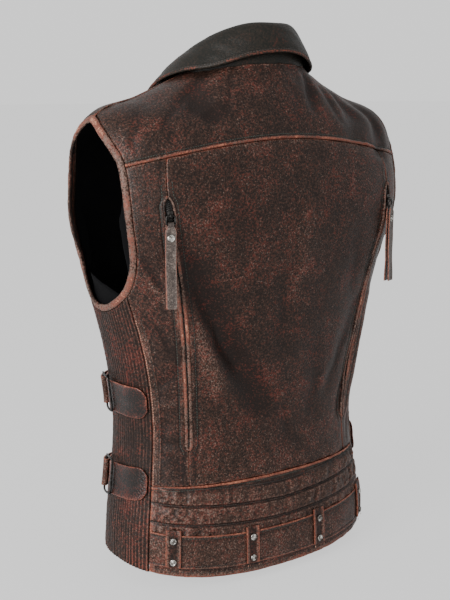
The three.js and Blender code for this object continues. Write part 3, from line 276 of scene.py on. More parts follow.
def zipTurnAt(z):
    return np.interp(z, zipTurnRows["z"], zipTurnRows["psi"])


sideTop = panelEdge(form["armholeSideBack"])
frontTopPlace = panelEdge(form["armholeSideFront"])
armholeCount = len(armholeRows)


def heightOf(at):
    return basePoint(at[..., 0], at[..., 1])[..., 2]


def sideSeam(z):
    t = (z - form["kidneyHeight"]) / (heightOf(sideTop) - form["kidneyHeight"])
    bend = np.maximum(t - form["seamBendFrom"], 0) / (1 - form["seamBendFrom"])
    turn = form["sideSeamTurn"] - (form["sideSeamTurn"] - sideTop[0]) * bend ** form["seamBendPower"]
    return place(turn, z)


def frontSeam(t):
    bottom, top = heightOf(np.array([form["frontSeamTurn"], 0.0])), heightOf(frontTopPlace)
    start, end = form["frontSeamTurn"], frontTopPlace[0]
    turn = start + (end - start) * t ** form["frontSeamBend"]
    return place(turn, bottom + (top - bottom) * t)


def centreFront(t, offset):
    bottom = heightOf(np.array([-90.0, 0.0]))
    at = place(np.full_like(t, -90.0), bottom + (form["breakHeight"] - bottom) * t)
    return nudge(at, np.array([1.0, 0, 0]), offset)


def neckOpening(row):
    at = rowsAt(neckRows, row, False)
    at = place(at[..., 0], at[..., 1])
    at[..., 1] = np.where(row >= len(neckRows) - 1, neckRing, at[..., 1])
    return at


def beltPlace(psi, share):
    top = form["beltTopSide"] - form["backDip"] * backArch(psi)
    return place(psi, top - form["beltHeight"] * (1 - share))


# The top edge of a piece that runs round the back of the neck, from one shoulder to the other
def roundNeck(s, share, shoulder, neckSide):
    top = mix(shoulder, neckSide, np.clip(s / share, 0, 1))
    middle, last = (s >= share) & (s <= 1 - share), s > 1 - share
    top[middle] = pair(180 * (s[middle] - share) / (1 - 2 * share), neckSide[1])
    top[last] = mirror(mix(shoulder, neckSide, (1 - s[last]) / share))
    return top


# Grids of cloth laid on the form, with a closer step at the edges
def edgeSpread(count, width, ends=(0.4, 1.0, 1.9)):
    t = np.linspace(0, 1, count + 1)
    for k, distance in enumerate(ends):
        share = distance / width
        if share < t[k + 1]:
            t[k + 1] = share
            t[-k - 2] = 1 - share
    return t


def patch(bottom, top, left, right, s, t):
    across, along = s[:, None, None], t[None, :, None]
    low = (1 - across) * bottom[0] + across * bottom[-1]
    high = (1 - across) * top[0] + across * top[-1]
    sides = (1 - across) * left[None] + across * right[None]
    ends = (1 - along) * bottom[:, None] + along * top[:, None]
    return sides + ends - (1 - along) * low - along * high


def runLengths(points, axis):
    step = np.linalg.norm(np.diff(points, axis=axis), axis=-1)
    start = np.zeros_like(np.take(step, [0], axis=axis))
    return np.concatenate([start, np.cumsum(step, axis=axis)], axis=axis)


# The distances inside a piece, from each of its edges and along them
class Cut:
    def __init__(self, base, psi=None):
        self.psi, self.z = psi, base[..., 2]
        self.u, self.w = runLengths(base, 0), runLengths(base, 1)
        self.left, self.right = self.u, self.u[-1:] - self.u
        self.bottom, self.top = self.w, self.w[:, -1:] - self.w
        self.edge = np.minimum(np.minimum(self.left, self.right), np.minimum(self.bottom, self.top))
        self.seams = {"left": self.left, "right": self.right, "bottom": self.bottom, "top": self.top}

    def along(self, seam):
        return self.w if seam in ("left", "right") else self.u


def bump(distance, centre, width):
    return np.exp(-((distance - centre) / width) ** 2)


def turnedEdge(distance, drop=1.5, reach=2.2):
    inside = np.clip(1 - distance / reach, 0, 1)
    return -drop * (1 - np.sqrt(np.maximum(1 - inside ** 2, 0)))


# Puckers that fade away from a seam
def puckers(cut, seam, seed, depth=0.5, pitch=7, fade=11):
    distance, along = cut.seams[seam], cut.along(seam)
    waves = clothNoise(along / pitch, distance / 16 + seed, seed)
    waves = waves + 0.5 * clothNoise(along / (2.7 * pitch), seed, seed + 50)
    return depth * waves * np.exp(-distance / fade)


def undulation(cut, strength=1.0, seed=11):
    x = cut.psi * form["foldScale"]
    slow = 0.5 * clothNoise(x / 34, cut.z / 44, seed) + 0.22 * clothNoise(x / 15, cut.z / 19, seed + 1)
    return strength * (slow + 0.08 * clothNoise(x / 6, cut.z / 7, seed + 2))


# How far a surface stands up from what is round it, where its finish rubs off
def ridgeWear(rise, cut, span=1.5):
    widths = np.maximum(np.gradient(cut.u, axis=0), 0.3), np.maximum(np.gradient(cut.w, axis=1), 0.3)
    across = np.gradient(np.gradient(rise, axis=0) / widths[0], axis=0) / widths[0]
    along = np.gradient(np.gradient(rise, axis=1) / widths[1], axis=1) / widths[1]
    return np.clip(-(across + along) * span, -1, 1)


def rubbed(cut, rise, base=0.3, share=0.35):
    return base + ridgeWear(rise, cut) * share


def meshOf(name, bm):
    mesh = bpy.data.meshes.new(name)
    bm.to_mesh(mesh)
    bm.free()
    return mesh


def gridMesh(name, points, flip=False):
    nx, ny = points.shape[0] - 1, points.shape[1] - 1
    bm = bmesh.new()
    bmesh.ops.create_grid(bm, x_segments=nx, y_segments=ny, size=1)
    if flip:
        bmesh.ops.reverse_faces(bm, faces=bm.faces)
    mesh = meshOf(name, bm)
    flat = np.zeros(len(mesh.vertices) * 3)
    mesh.vertices.foreach_get("co", flat)
    flat = flat.reshape(-1, 3)
    i = np.rint((flat[:, 0] + 1) / 2 * nx).astype(int)
    j = np.rint((flat[:, 1] + 1) / 2 * ny).astype(int)
    mesh.vertices.foreach_set("co", (points[i, j] * millimetre).astype(np.float32).ravel())
    mesh.update()
    return mesh, i, j


def newObject(name, mesh, material, rides=body, replaced=()):
    obj = bpy.data.objects.new(name, mesh)
    bpy.context.scene.collection.objects.link(obj)
    mesh.materials.append(material)
    mesh.polygons.foreach_set("use_smooth", [True] * len(mesh.polygons))
    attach(obj, rides)
    if replaced:
        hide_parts(*replaced)
    return obj


def facesOut(points, outs):
    across = points[2:, 1:-1] - points[:-2, 1:-1]
    along = points[1:-1, 2:] - points[1:-1, :-2]
    return float((np.cross(across, along) * outs[1:-1, 1:-1]).sum()) > 0


# A grid of points as a thin wall, with how worn it is at each of them and the painted shade and highlight
# put there
def addWall(name, points, out, wornAndShaded, material, thick, rides=body, replaced=()):
    mesh, i, j = gridMesh(name, points, flip=not facesOut(points, out))
    wornAndShaded = np.clip(np.broadcast_to(wornAndShaded, points.shape[:2]), 0, 1)[i, j]
    mesh.attributes.new("wearAndShade", "FLOAT", "POINT").data.foreach_set("value", wornAndShaded.astype(np.float32))
    obj = newObject(name, mesh, material, rides, replaced)
    solid = obj.modifiers.new("thickness", "SOLIDIFY")
    solid.thickness, solid.offset, solid.use_even_offset = thick * millimetre, -1, False
    return obj


# A cut piece: its grid on the form, raised by its own relief over the folds
def addCut(name, places, relief, wearAndShade, material=None, side=1, thick=None, creased=1.0):
    places = onSide(side, places)
    point, _, _, out = formFrame(places)
    cut = Cut(point, places[..., 0])
    folded = foldRise(cut.psi, cut.z) + creased * creaseRise(cut.psi, cut.z)
    rise = relief(cut) + folded
    points = point + out * rise[..., None]
    # the folds also go into the per-point values: troughs painted darker as painted shade, ridges paler as
    # painted highlight and rubbing
    wornAndShaded = wearAndShade(cut, rise) + np.clip(folded * foldLook["toneShift"], foldLook["darkest"], foldLook["palest"])
    replaced = (name.rsplit("_", 1)[0],)
    addWall(name, points, out, wornAndShaded, material or hide, thick or form["leather"], replaced=replaced)
    return cut, points, out


def sideName(side):
    return "left" if side > 0 else "right"


# Shader nodes written as sums and products of their sockets
class Wire:
    def __init__(self, tree, socket=None):
        self.tree, self.socket = tree, socket

    def node(self, kind, settings=None, sockets=None, output=0):
        made = self.tree.nodes.new("ShaderNode" + kind)
        for key, value in (settings or {}).items():
            setattr(made, key, value)
        for key, value in (sockets or {}).items():
            if isinstance(value, Wire):
                self.tree.links.new(value.socket, made.inputs[key])
            else:
                made.inputs[key].default_value = value
        return Wire(self.tree, made.outputs[output])

    def math(self, operation, *values):
        return self.node("Math", {"operation": operation}, dict(enumerate(values)))

    def __add__(self, other):
        return self.math("ADD", self, other)

    __radd__ = __add__

    def __sub__(self, other):
        return self.math("SUBTRACT", self, other)

    def __rsub__(self, other):
        return self.math("SUBTRACT", other, self)

    def __mul__(self, other):
        return self.math("MULTIPLY", self, other)

    __rmul__ = __mul__


# A colour from levels up to 255, as linear light
def colour(*levels):
    shares = [level / 255 for level in levels]
    linear = [((share + 0.055) / 1.055) ** 2.4 if share > 0.04 else share / 12.92 for share in shares]
    return (*linear, 1)


def startMaterial(name):
    material = bpy.data.materials.new(name)
    material.use_nodes = True
    tree = material.node_tree
    shader = tree.nodes["Principled BSDF"]
    return material, Wire(tree), shader


def feed(wire, shader, name, value):
    wire.tree.links.new(value.socket, shader.inputs[name])


def feedBump(wire, shader, height, strength, distance):
    sockets = {"Height": height, "Strength": strength, "Distance": distance}
    feed(wire, shader, "Normal", wire.node("Bump", None, sockets, "Normal"))


def noiseOf(wire, coords, scale, detail=3.0, rough=0.55, distortion=0.0):
    sockets = {"Vector": coords, "Scale": scale, "Detail": detail, "Roughness": rough}
    return wire.node("TexNoise", None, {**sockets, "Distortion": distortion})


def step(wire, value, low, high):
    sockets = {"Value": value, "From Min": low, "From Max": high}
    return wire.node("MapRange", {"interpolation_type": "SMOOTHSTEP"}, sockets)


def blendColour(wire, factor, a, b):
    return wire.node("Mix", {"data_type": "RGBA"}, {"Factor": factor, "A": a, "B": b}, "Result")


# Distressed leather: a dark finish over red brown hide, rubbed through on grain tops and edges; the
# per-point values it reads also hold painted shade and highlight
leatherLook = {
    "dark": (24, 16, 13), "brown": (51, 35, 28), "pale": (126, 104, 93), "red": (84, 28, 21),
    "rust": (92, 46, 35), "tan": (154, 102, 80), "patchScale": 11, "streakScale": 36, "grainScale": 380,
    "speckScale": 520, "poreScale": 1500, "pebbleScale": 300, "roughness": 0.42, "bumpDepth": 0.0003,
    "specular": 0.14,
}


def leatherMaterial(name, toneShift=0.0, wornAndShaded=0.0, red=0.0, pale=0.0, tan=0.0, changes=None):
    material, wire, shader = startMaterial(name)
    look = {**leatherLook, **(changes or {})}
    coords = wire.node("TexCoord", output="Object")
    wearAndShade = wire.node("Attribute", {"attribute_name": "wearAndShade"}, output="Fac")
    patches = noiseOf(wire, coords, look["patchScale"], 4, 0.6)
    streaks = noiseOf(wire, coords, look["streakScale"], 5, 0.65, 0.4)
    grain = noiseOf(wire, coords, look["grainScale"], 2, 0.65)
    specks = noiseOf(wire, coords, look["speckScale"], 2, 0.6, 0.3)
    pores = noiseOf(wire, coords, look["poreScale"], 2, 0.5)
    spacing = {"Vector": coords, "Scale": look["pebbleScale"], "Randomness": 1.0}
    pebble = wire.node("TexVoronoi", {"feature": "DISTANCE_TO_EDGE"}, spacing, "Distance")
    crown = step(wire, pebble, 0.0, 0.20)
    # the finish thins on grain tops, more where patches and streaks meet, less where painted shade lowers
    # the per-point values
    thin = (patches - 0.5) * 0.25 + (streaks - 0.5) * 0.32 + (wearAndShade - 0.3) * 0.6 + toneShift
    brown = step(wire, thin * 0.7 + grain + (crown - 0.6) * 0.06, 0.36, 0.68)
    # pale specks: the grain's own mottling, partly painted glints of light on the pebble tops
    paleSpecksAndGlints = step(wire, thin * 0.8 + specks + pale, 0.56, 0.80)
    reddened = (streaks - 0.5) * 1.0 + (patches - 0.5) * 0.55 + (grain - 0.5) * 1.3 + wearAndShade * 0.2 + red
    reddened = step(wire, reddened, 0.04, 0.50)
    base = blendColour(wire, brown, colour(*look["dark"]), colour(*look["brown"]))
    base = blendColour(wire, reddened * (0.25 + specks * 0.65), base, colour(*look["red"]))
    base = blendColour(wire, paleSpecksAndGlints * 0.5, base, colour(*look["pale"]))
    # edges worn down to rust, then tan, broken by what is left of the finish, where painted highlight also
    # lifts them
    worked = wearAndShade + (streaks - 0.5) * 0.8 + (specks - 0.5) * 0.9 + (grain - 0.5) * 0.6 + wornAndShaded
    base = blendColour(wire, step(wire, worked, 0.58, 0.90) * 0.9, base, colour(*look["rust"]))
    base = blendColour(wire, step(wire, worked + tan, 0.90, 1.30) * 0.85, base, colour(*look["tan"]))
    feed(wire, shader, "Base Color", base)
    rough = look["roughness"] + (streaks - 0.5) * 0.2 + (1 - crown) * 0.12 + (grain - 0.5) * 0.25
    feed(wire, shader, "Roughness", rough)
    height = crown * 0.5 + grain * 0.6 + pores * 0.2 + streaks * 0.6
    feedBump(wire, shader, height, 0.8, look["bumpDepth"])
    shader.inputs["Specular IOR Level"].default_value = look["specular"]
    return material


def liningMaterial(name):
    material, wire, shader = startMaterial(name)
    coords = wire.node("TexCoord", output="Object")
    soft = noiseOf(wire, coords, 22, 3, 0.5)
    weave = {"Vector": coords, "Scale": 420, "Distortion": 0.4}
    twill = wire.node("TexWave", {"bands_direction": "DIAGONAL"}, weave)
    feed(wire, shader, "Base Color", blendColour(wire, soft, colour(4, 4, 5), colour(10, 10, 11)))
    feed(wire, shader, "Roughness", 0.85 + (soft - 0.5) * 0.2)
    feedBump(wire, shader, twill * 0.5 + soft, 0.3, 0.0003)
    shader.inputs["Specular IOR Level"].default_value = 0.06
    return material


def metalMaterial(name, light, dark, roughness, pitted=0.5):
    material, wire, shader = startMaterial(name)
    coords = wire.node("TexCoord", output="Object")
    tarnish = noiseOf(wire, coords, 260, 4, 0.6)
    scratch = noiseOf(wire, coords, 1500, 2, 0.6)
    mask = step(wire, tarnish + (scratch - 0.5) * pitted, 0.35, 0.68)
    feed(wire, shader, "Base Color", blendColour(wire, mask, colour(*dark), colour(*light)))
    feed(wire, shader, "Roughness", roughness + (1 - mask) * 0.22)
    feedBump(wire, shader, scratch, 0.25, 0.0002)
    shader.inputs["Metallic"].default_value = 0.95
    return material


def threadMaterial(name, light, dark):
    material, wire, shader = startMaterial(name)
    coords = wire.node("TexCoord", output="Object")
    twist = noiseOf(wire, coords, 1800, 2, 0.6)
    soil = noiseOf(wire, coords, 60, 3, 0.6)
    soil = step(wire, soil, 0.35, 0.65)
    feed(wire, shader, "Base Color", blendColour(wire, soil, colour(*dark), colour(*light)))
    feedBump(wire, shader, twist, 0.5, 0.0002)
    shader.inputs["Roughness"].default_value = 0.7
    return material


def tapeMaterial(name):
    material, wire, shader = startMaterial(name)
    coords = wire.node("TexCoord", output="Object")
    weave = {"Vector": coords, "Scale": 300, "Distortion": 0.2}
    rib = wire.node("TexWave", {"bands_direction": "Z"}, weave)
    lint = noiseOf(wire, coords, 300, 3, 0.6)
    feed(wire, shader, "Base Color", blendColour(wire, lint, colour(14, 13, 13), colour(36, 33, 32)))
    feedBump(wire, shader, rib, 0.4, 0.0003)
    shader.inputs["Roughness"].default_value = 0.85
    return material


hide = leatherMaterial("hide")
wornHide = leatherMaterial("wornHide", toneShift=0.06, red=0.01, pale=-0.03)
edgeHide = leatherMaterial("edgeHide", toneShift=0.08, wornAndShaded=0.02, tan=0.05, changes={"tan": (168, 124, 102)})
ribHide = leatherMaterial("ribHide", toneShift=-0.05, pale=-0.03)
collarTones = {"dark": (19, 19, 16), "brown": (34, 28, 23), "pale": (60, 53, 46), "roughness": 0.46}
collarHide = leatherMaterial("collarHide", red=-0.22, pale=-0.08, changes=collarTones)
strapTones = {"dark": (42, 35, 32), "brown": (62, 53, 48), "pale": (122, 110, 102), "specular": 0.3}
strapHide = leatherMaterial("strapHide", toneShift=0.06, red=-0.5, pale=0.02, changes=strapTones)
tabTones = {
    "dark": (14, 9, 7), "brown": (38, 20, 15), "red": (66, 24, 17), "roughness": 0.26, "specular": 0.28,
}
tabHide = leatherMaterial("tabHide", pale=-0.16, red=0.04, changes=tabTones)
liningCloth = liningMaterial("liningCloth")
pewter = metalMaterial("pewter", (190, 187, 180), (52, 48, 45), 0.26)
gunmetal = metalMaterial("gunmetal", (58, 56, 54), (24, 23, 22), 0.3, 0.2)
darkThread = threadMaterial("darkThread", (52, 42, 36), (22, 19, 17))
greenThread = threadMaterial("greenThread", (44, 52, 44), (20, 26, 22))
tanThread = threadMaterial("tanThread", (158, 116, 96), (98, 62, 48))
zipTape = tapeMaterial("zipTape")
print("materials made")


# Rows of stitches are gathered here, and made as meshes at the end
stitchRows = []


def rowAlong(cut, points, out, seam, distance):
    turned = seam in ("left", "right")
    away = cut.seams[seam].T if turned else cut.seams[seam]
    points = points.transpose(1, 0, 2) if turned else points
    out = out.transpose(1, 0, 2) if turned else out
    line, ways = [], []
    for beside, point, way in zip(away, points, out):
        order = np.argsort(beside)
        line.append([np.interp(distance, beside[order], values) for values in point[order].T])
        ways.append([np.interp(distance, beside[order], values) for values in way[order].T])
    return np.array(line), unit(np.array(ways))


def sewRow(made, seam, distance, kind="dark", start=0.0, end=1.0, pitch=3.6):
    cut, points, out = made
    line, ways = rowAlong(cut, points, out, seam, distance)
    low, high = int(start * (len(line) - 1)), int(math.ceil(end * (len(line) - 1))) + 1
    stitchRows.append({"line": line[low:high], "out": ways[low:high], "kind": kind, "pitch": pitch})


# Back and its sides, with the zip's slot between them
backLook = {
    "columns": 150, "rows": 165, "sideColumns": 48, "width": 280, "length": 410, "sideWidth": 60,
    "slotLow": -449.5, "slotHigh": -146.2, "taper": 8,
    "split": 0.625, "zipRow": 6.6, "stripWidth": 11, "stripTop": -285,
}


def slotHalf(z):
    inside = np.minimum(z - backLook["slotLow"], backLook["slotHigh"] - z) / backLook["taper"] + 1
    seam = form["seamGap"] / 2
    return seam + (form["zipSlotHalf"] - seam) * np.clip(inside, 0, 1)


def zipLine(t, side):
    top = float(yokeHeight(form["zipTurn"]))
    z = form["kidneyHeight"] + (top - form["kidneyHeight"]) * t
    return slideRound(place(zipTurnAt(z), z), side * slotHalf(z))


def yokeSeam(psi):
    return place(psi, yokeHeight(psi))


def kidneySeam(psi):
    return place(psi, np.full_like(psi, float(form["kidneyHeight"])))


def zipSeamRelief(cut, seam, seed):
    beside = cut.seams[seam]
    low = np.clip((cut.z - backLook["slotLow"] + 6) / 6, 0, 1)
    run = low * np.clip((backLook["slotHigh"] + 8 - cut.z) / 6, 0, 1)
    rise = (0.7 * bump(beside, 3.4, 2.6) - 0.7 * bump(beside, backLook["zipRow"] + 0.8, 1.2)) * run
    above = np.clip((cut.z - backLook["slotHigh"]) / 6, 0, 1)
    return rise + 0.5 * bump(beside, 2.4, 2.0) * above + puckers(cut, seam, seed, 0.4, 6)


def backRelief(cut):
    rise = undulation(cut, 1.1) + turnedEdge(cut.edge, 1.2, 1.6)
    rise += zipSeamRelief(cut, "left", 21) + zipSeamRelief(cut, "right", 22)
    rise += puckers(cut, "top", 23, 0.6, 7, 14) - 0.7 * np.exp(-cut.top / 2.5)
    return rise + puckers(cut, "bottom", 24, 0.7, 8, 12)


def backWearAndShade(cut, rise):
    wearAndShade = rubbed(cut, rise) + 0.14 * np.exp(-cut.top / 8)
    for seam in ("left", "right"):
        wearAndShade += 0.22 * bump(cut.seams[seam], 1, 1.6) * (0.4 + clothNoise(cut.z / 15, 1, 25))
        # darker along the stitched groove beside the zip: painted shade
        wearAndShade -= 0.22 * bump(cut.seams[seam], backLook["zipRow"] + 0.6, 1.5)
    return wearAndShade + 0.12 * np.exp(-cut.bottom / 40)


def makeBack():
    s = edgeSpread(backLook["columns"], backLook["width"])
    t = edgeSpread(backLook["rows"], backLook["length"])
    left = zipLine(t, 1)
    bottom, top = kidneySeam(backTurns(s, left[0, 0])), yokeSeam(backTurns(s, left[-1, 0]))
    places = patch(bottom, top, left, mirror(left), s, t)
    made = addCut("back_centre_hide", places, backRelief, backWearAndShade)
    for seam in ("left", "right"):
        sewRow(made, seam, backLook["zipRow"], "green", start=0.10, end=0.93)


def sideStrip(cut):
    low = np.clip((backLook["stripTop"] - cut.z) / 8, 0, 1)
    return low * np.clip((backLook["stripWidth"] - cut.left) / 0.8, 0, 1)


def sideBackRelief(cut):
    rise = undulation(cut, 1.1) + turnedEdge(cut.edge, 1.2, 1.6) + zipSeamRelief(cut, "right", 31)
    rise += 0.8 * sideStrip(cut) + puckers(cut, "left", 32, 0.5, 5, 14)
    rise -= 0.5 * (bump(cut.left, 2.2, 0.9) + bump(cut.left, 8.6, 0.9)) * (cut.z < backLook["stripTop"])
    return rise + puckers(cut, "top", 33, 0.6, 7, 14)


def sideBackWearAndShade(cut, rise):
    ticks = 0.5 + 0.5 * clothNoise(cut.w / 1.7, cut.u / 3, 34)
    patchy = 0.5 + 0.5 * clothNoise(cut.w / 26, 1, 35)
    # darker along the stitched groove beside the zip: painted shade
    wearAndShade = rubbed(cut, rise) - 0.22 * bump(cut.right, backLook["zipRow"] + 0.6, 1.5)
    wearAndShade += (0.24 * ticks + 0.20 * patchy - 0.10) * sideStrip(cut) + 0.08 * np.exp(-cut.left / 3)
    return wearAndShade + 0.22 * bump(cut.right, 1, 1.6) * (0.4 + clothNoise(cut.z / 15, 2, 36))


def makeBackSides():
    s = edgeSpread(backLook["sideColumns"], backLook["sideWidth"])
    t = edgeSpread(backLook["rows"], backLook["length"])
    split = backLook["split"]
    above = np.clip((t - split) / (1 - split), 0, 1)
    armhole = form["armholeSideBack"] + (form["armholeYoke"] - form["armholeSideBack"]) * above
    seamZ = form["kidneyHeight"] + (heightOf(sideTop) - form["kidneyHeight"]) * np.minimum(t / split, 1)
    left = np.where((t < split)[:, None], sideSeam(seamZ), panelEdge(armhole))
    right = zipLine(t, -1)
    bottom = kidneySeam(form["sideSeamTurn"] + (right[0, 0] - form["sideSeamTurn"]) * s)
    top = yokeSeam(left[-1, 0] + (right[-1, 0] - left[-1, 0]) * s)
    top[0], top[-1], bottom[0], bottom[-1] = left[-1], right[-1], left[0], right[0]
    places = patch(bottom, top, left, right, s, t)
    for side in (1, -1):
        made = addCut(f"back_side_{sideName(side)}_hide", places, sideBackRelief, sideBackWearAndShade, side=side)
        sewRow(made, "right", backLook["zipRow"], "green", start=0.10, end=0.93)
        sewRow(made, "left", 2.2, "tan", end=0.55, pitch=3.2)
        sewRow(made, "left", 8.6, "dark", end=0.55)
        sewRow(made, "left", 3.4, start=0.64)


# Yoke over the shoulders, its rolled seam edge rubbed to rust
yokeLook = {
    "side": 34, "middle": 96, "rows": 60, "length": 120, "neckShare": 5 / 22, "rollHigh": 1.7,
    "rollAt": 2.1, "row": 6.2, "nearEdge": (0.4, 0.9, 1.5, 2.1, 2.8, 3.6, 4.6, 6),
}


def yokeRelief(cut):
    rise = undulation(cut, 1.1) + turnedEdge(cut.edge, 1.2, 1.4)
    rise += yokeLook["rollHigh"] * bump(cut.bottom, yokeLook["rollAt"], 1.9)
    waves = clothNoise(cut.u / 3.6, 1, 41) + 0.6 * clothNoise(cut.u / 11, 2, 42)
    rise += (0.35 * bump(cut.bottom, 2.4, 2.4) + 0.5 * np.exp(-cut.bottom / 12)) * waves
    rise -= 0.8 * bump(cut.bottom, yokeLook["row"], 1.3) + 0.4 * bump(cut.top, 4, 1.2)
    return rise + puckers(cut, "top", 43, 1.0, 8, 16)


def yokeWearAndShade(cut, rise):
    broken = 0.66 + 0.45 * clothNoise(cut.u / 15, 3, 44)
    # the yoke is painted darker towards its right: painted shade
    shaded = np.clip((cut.psi - 105) / 35, 0, 1)
    wearAndShade = rubbed(cut, rise, 0.3 - 0.09 * shaded) + 0.15 * (np.exp(-cut.left / 5) + np.exp(-cut.right / 5))
    return wearAndShade + 0.52 * bump(cut.bottom, yokeLook["rollAt"], 1.8) * broken


def makeYoke():
    share = yokeLook["neckShare"]
    s = np.concatenate([
        np.linspace(0, share, yokeLook["side"] + 1)[:-1],
        np.linspace(share, 1 - share, yokeLook["middle"] + 1)[:-1],
        np.linspace(1 - share, 1, yokeLook["side"] + 1),
    ])
    t = edgeSpread(yokeLook["rows"], yokeLook["length"], yokeLook["nearEdge"])
    left = panelEdge(form["armholeYoke"] * (1 - t))
    turn = left[0, 0]
    turns = [turn, form["zipTurn"], 180 - form["zipTurn"], 180 - turn]
    bottom = yokeSeam(np.interp(s, [0, share, 1 - share, 1], turns))
    top = roundNeck(s, share, left[-1], np.array([0.0, neckRing]))
    bottom[0], bottom[-1] = left[0], mirror(left[0])
    made = addCut("yoke_hide", patch(bottom, top, left, mirror(left), s, t), yokeRelief, yokeWearAndShade)
    sewRow(made, "bottom", yokeLook["row"], "green", start=0.01, end=0.99, pitch=3.2)
    sewRow(made, "left", 3.4)
    sewRow(made, "right", 3.4)


# Quilted kidney panel: puffed channels between stitched grooves, gathered across
kidneyLook = {
    "columns": 235, "rows": 58, "width": 300, "length": 72, "nearEdge": (0.35, 0.8, 1.3, 1.9, 2.6, 3.4, 4.4),
    "grooves": [0.15, 0.43, 0.71],
    "share": [0, 0.075, 0.15, 0.18, 0.29, 0.40, 0.43, 0.46, 0.57, 0.68, 0.71, 0.74, 0.84, 1],
    "raised": [1.6, 1.4, 0.0, 2.0, 3.4, 2.0, 0.0, 2.0, 3.2, 2.0, 0.0, 1.1, 1.4, 0.4],
    "fanAt": [0, 0.29, 0.625, 1], "fan": [0.14, 0.14, 0.085, 0],
    "height": 68, "gather": 2.5, "gatherPitch": 6.2, "rollAt": 1.9, "row": 5.2, "margin": 9,
}


# The channels close up towards the sides, where the first groove runs into the seam
def kidneyShare(cut):
    share = cut.top / np.maximum(cut.top[:, :1], 1)
    side = np.abs(cut.psi - 90) / (90 - form["sideSeamTurn"])
    return share + side * np.interp(share, kidneyLook["fanAt"], kidneyLook["fan"])


def grooveDistance(share):
    away = [np.abs(share - groove) for groove in kidneyLook["grooves"]]
    return np.min(away, axis=0) * kidneyLook["height"]


def kidneyRelief(cut):
    share = kidneyShare(cut)
    fromGroove = grooveDistance(share)
    channel = np.digitize(share, kidneyLook["grooves"]) * 3.7
    lean = cut.u + 2.5 * clothNoise(cut.u / 20, cut.w / 14, 50)
    gathers = clothNoise(lean / kidneyLook["gatherPitch"], channel + cut.w / 40, 51)
    gathers = gathers + 0.9 * clothNoise(lean / 12, channel, 52)
    gathers = gathers + 0.3 * clothNoise(lean / 3, channel + cut.w / 9, 53)
    crossed = clothNoise((cut.u + cut.w) / 5, (cut.u - cut.w) / 16, 56)
    crossed = crossed + clothNoise((cut.u - cut.w) / 6, cut.w / 16, 57)
    side = np.exp(-np.minimum(cut.left, cut.right) / 80)
    gathers = gathers * (0.4 + 0.5 * side) + 0.6 * crossed * side
    inside = np.clip(np.minimum(cut.left, cut.right) / kidneyLook["margin"] - 0.8, 0, 1)
    held = inside * np.clip(fromGroove / 7, 0, 1) ** 0.7 * (share > 0.10)
    puffed = np.interp(share, kidneyLook["share"], kidneyLook["raised"]) * inside
    rise = puffed + kidneyLook["gather"] * gathers * held - 0.9 * np.exp(-(fromGroove / 1.4) ** 2)
    rise += 1.0 * bump(cut.top, kidneyLook["rollAt"], 1.7) - 0.7 * bump(cut.top, kidneyLook["row"], 1.0)
    return rise + turnedEdge(cut.edge, 1.2, 1.4) + undulation(cut, 0.5)


# The seam to the ribbed side, rubbed as far as its stitches
def sideWear(cut):
    side = np.minimum(cut.left, cut.right)
    band = np.clip((kidneyLook["margin"] - side) / 1.2, 0, 1)
    band = band * (0.10 + 0.22 * clothNoise(cut.w / 2.2, side / 4, 55))
    return band + 0.35 * bump(side, 1.2, 1.4) - 0.3 * bump(side, kidneyLook["margin"], 1.2)


def kidneyWearAndShade(cut, rise):
    # the stitched grooves between the puffs are painted darker: painted shade
    grooveShade = np.exp(-(grooveDistance(kidneyShare(cut)) / 1.7) ** 2)
    broken = 0.78 + 0.4 * clothNoise(cut.u / 18, 3, 54)
    wearAndShade = 0.38 + ridgeWear(rise, cut, 1.2) * 0.55 - 0.50 * grooveShade + sideWear(cut)
    return wearAndShade + 0.54 * broken * bump(cut.top, kidneyLook["rollAt"], 1.5)


def kidneyFoot(psi):
    return place(psi, form["kidneyBottom"] - form["kidneyDipShare"] * form["backDip"] * backArch(psi))


def backTurns(s, turn):
    return turn + (180 - 2 * turn) * s


def makeKidney():
    s = edgeSpread(kidneyLook["columns"], kidneyLook["width"])
    t = edgeSpread(kidneyLook["rows"], kidneyLook["length"], kidneyLook["nearEdge"])
    psi = backTurns(s, form["sideSeamTurn"])
    low, high = kidneyFoot(psi), kidneySeam(psi)
    left = mix(low[0], high[0], t)
    places = patch(low, high, left, mirror(left), s, t)
    made = addCut("kidney_panel_hide", places, kidneyRelief, kidneyWearAndShade, wornHide, creased=0.0)
    made[0].seams["channels"] = kidneyShare(made[0]) * kidneyLook["height"]
    for share in kidneyLook["grooves"]:
        sewRow(made, "channels", share * kidneyLook["height"], pitch=3.2)
    sewRow(made, "top", kidneyLook["row"], "green", pitch=3.2)


# Hem band under the half belt
hemLook = {
    "columns": 190, "rows": 28, "width": 330, "length": 48, "nearEdge": (0.35, 0.8, 1.3, 2.0, 3.0),
    "row": 6.5,
}


def hemRelief(cut):
    rise = undulation(cut, 0.7) + turnedEdge(cut.edge, 1.3, 1.5)
    rise += 0.9 * bump(cut.bottom, 2.4, 2.4) - 0.7 * bump(cut.bottom, hemLook["row"], 1.0)
    return rise + puckers(cut, "bottom", 61, 0.5, 6, 12)


def hemWear(cut, rise):
    broken = 0.8 + 0.4 * clothNoise(cut.u / 30, 3, 62)
    return rubbed(cut, rise, 0.40, 0.4) + 0.36 * broken * bump(cut.bottom, 1.5, 2.4) + sideWear(cut)


def makeHem():
    s = edgeSpread(hemLook["columns"], hemLook["width"])
    t = edgeSpread(hemLook["rows"], hemLook["length"], hemLook["nearEdge"])
    psi = backTurns(s, form["sideSeamTurn"])
    low, high = pair(psi, 0.0), kidneyFoot(psi)
    left = mix(low[0], high[0], t)
    places = patch(low, high, left, mirror(left), s, t)
    made = addCut("hem_band_hide", places, hemRelief, hemWear, creased=0.0)
    sewRow(made, "bottom", hemLook["row"])


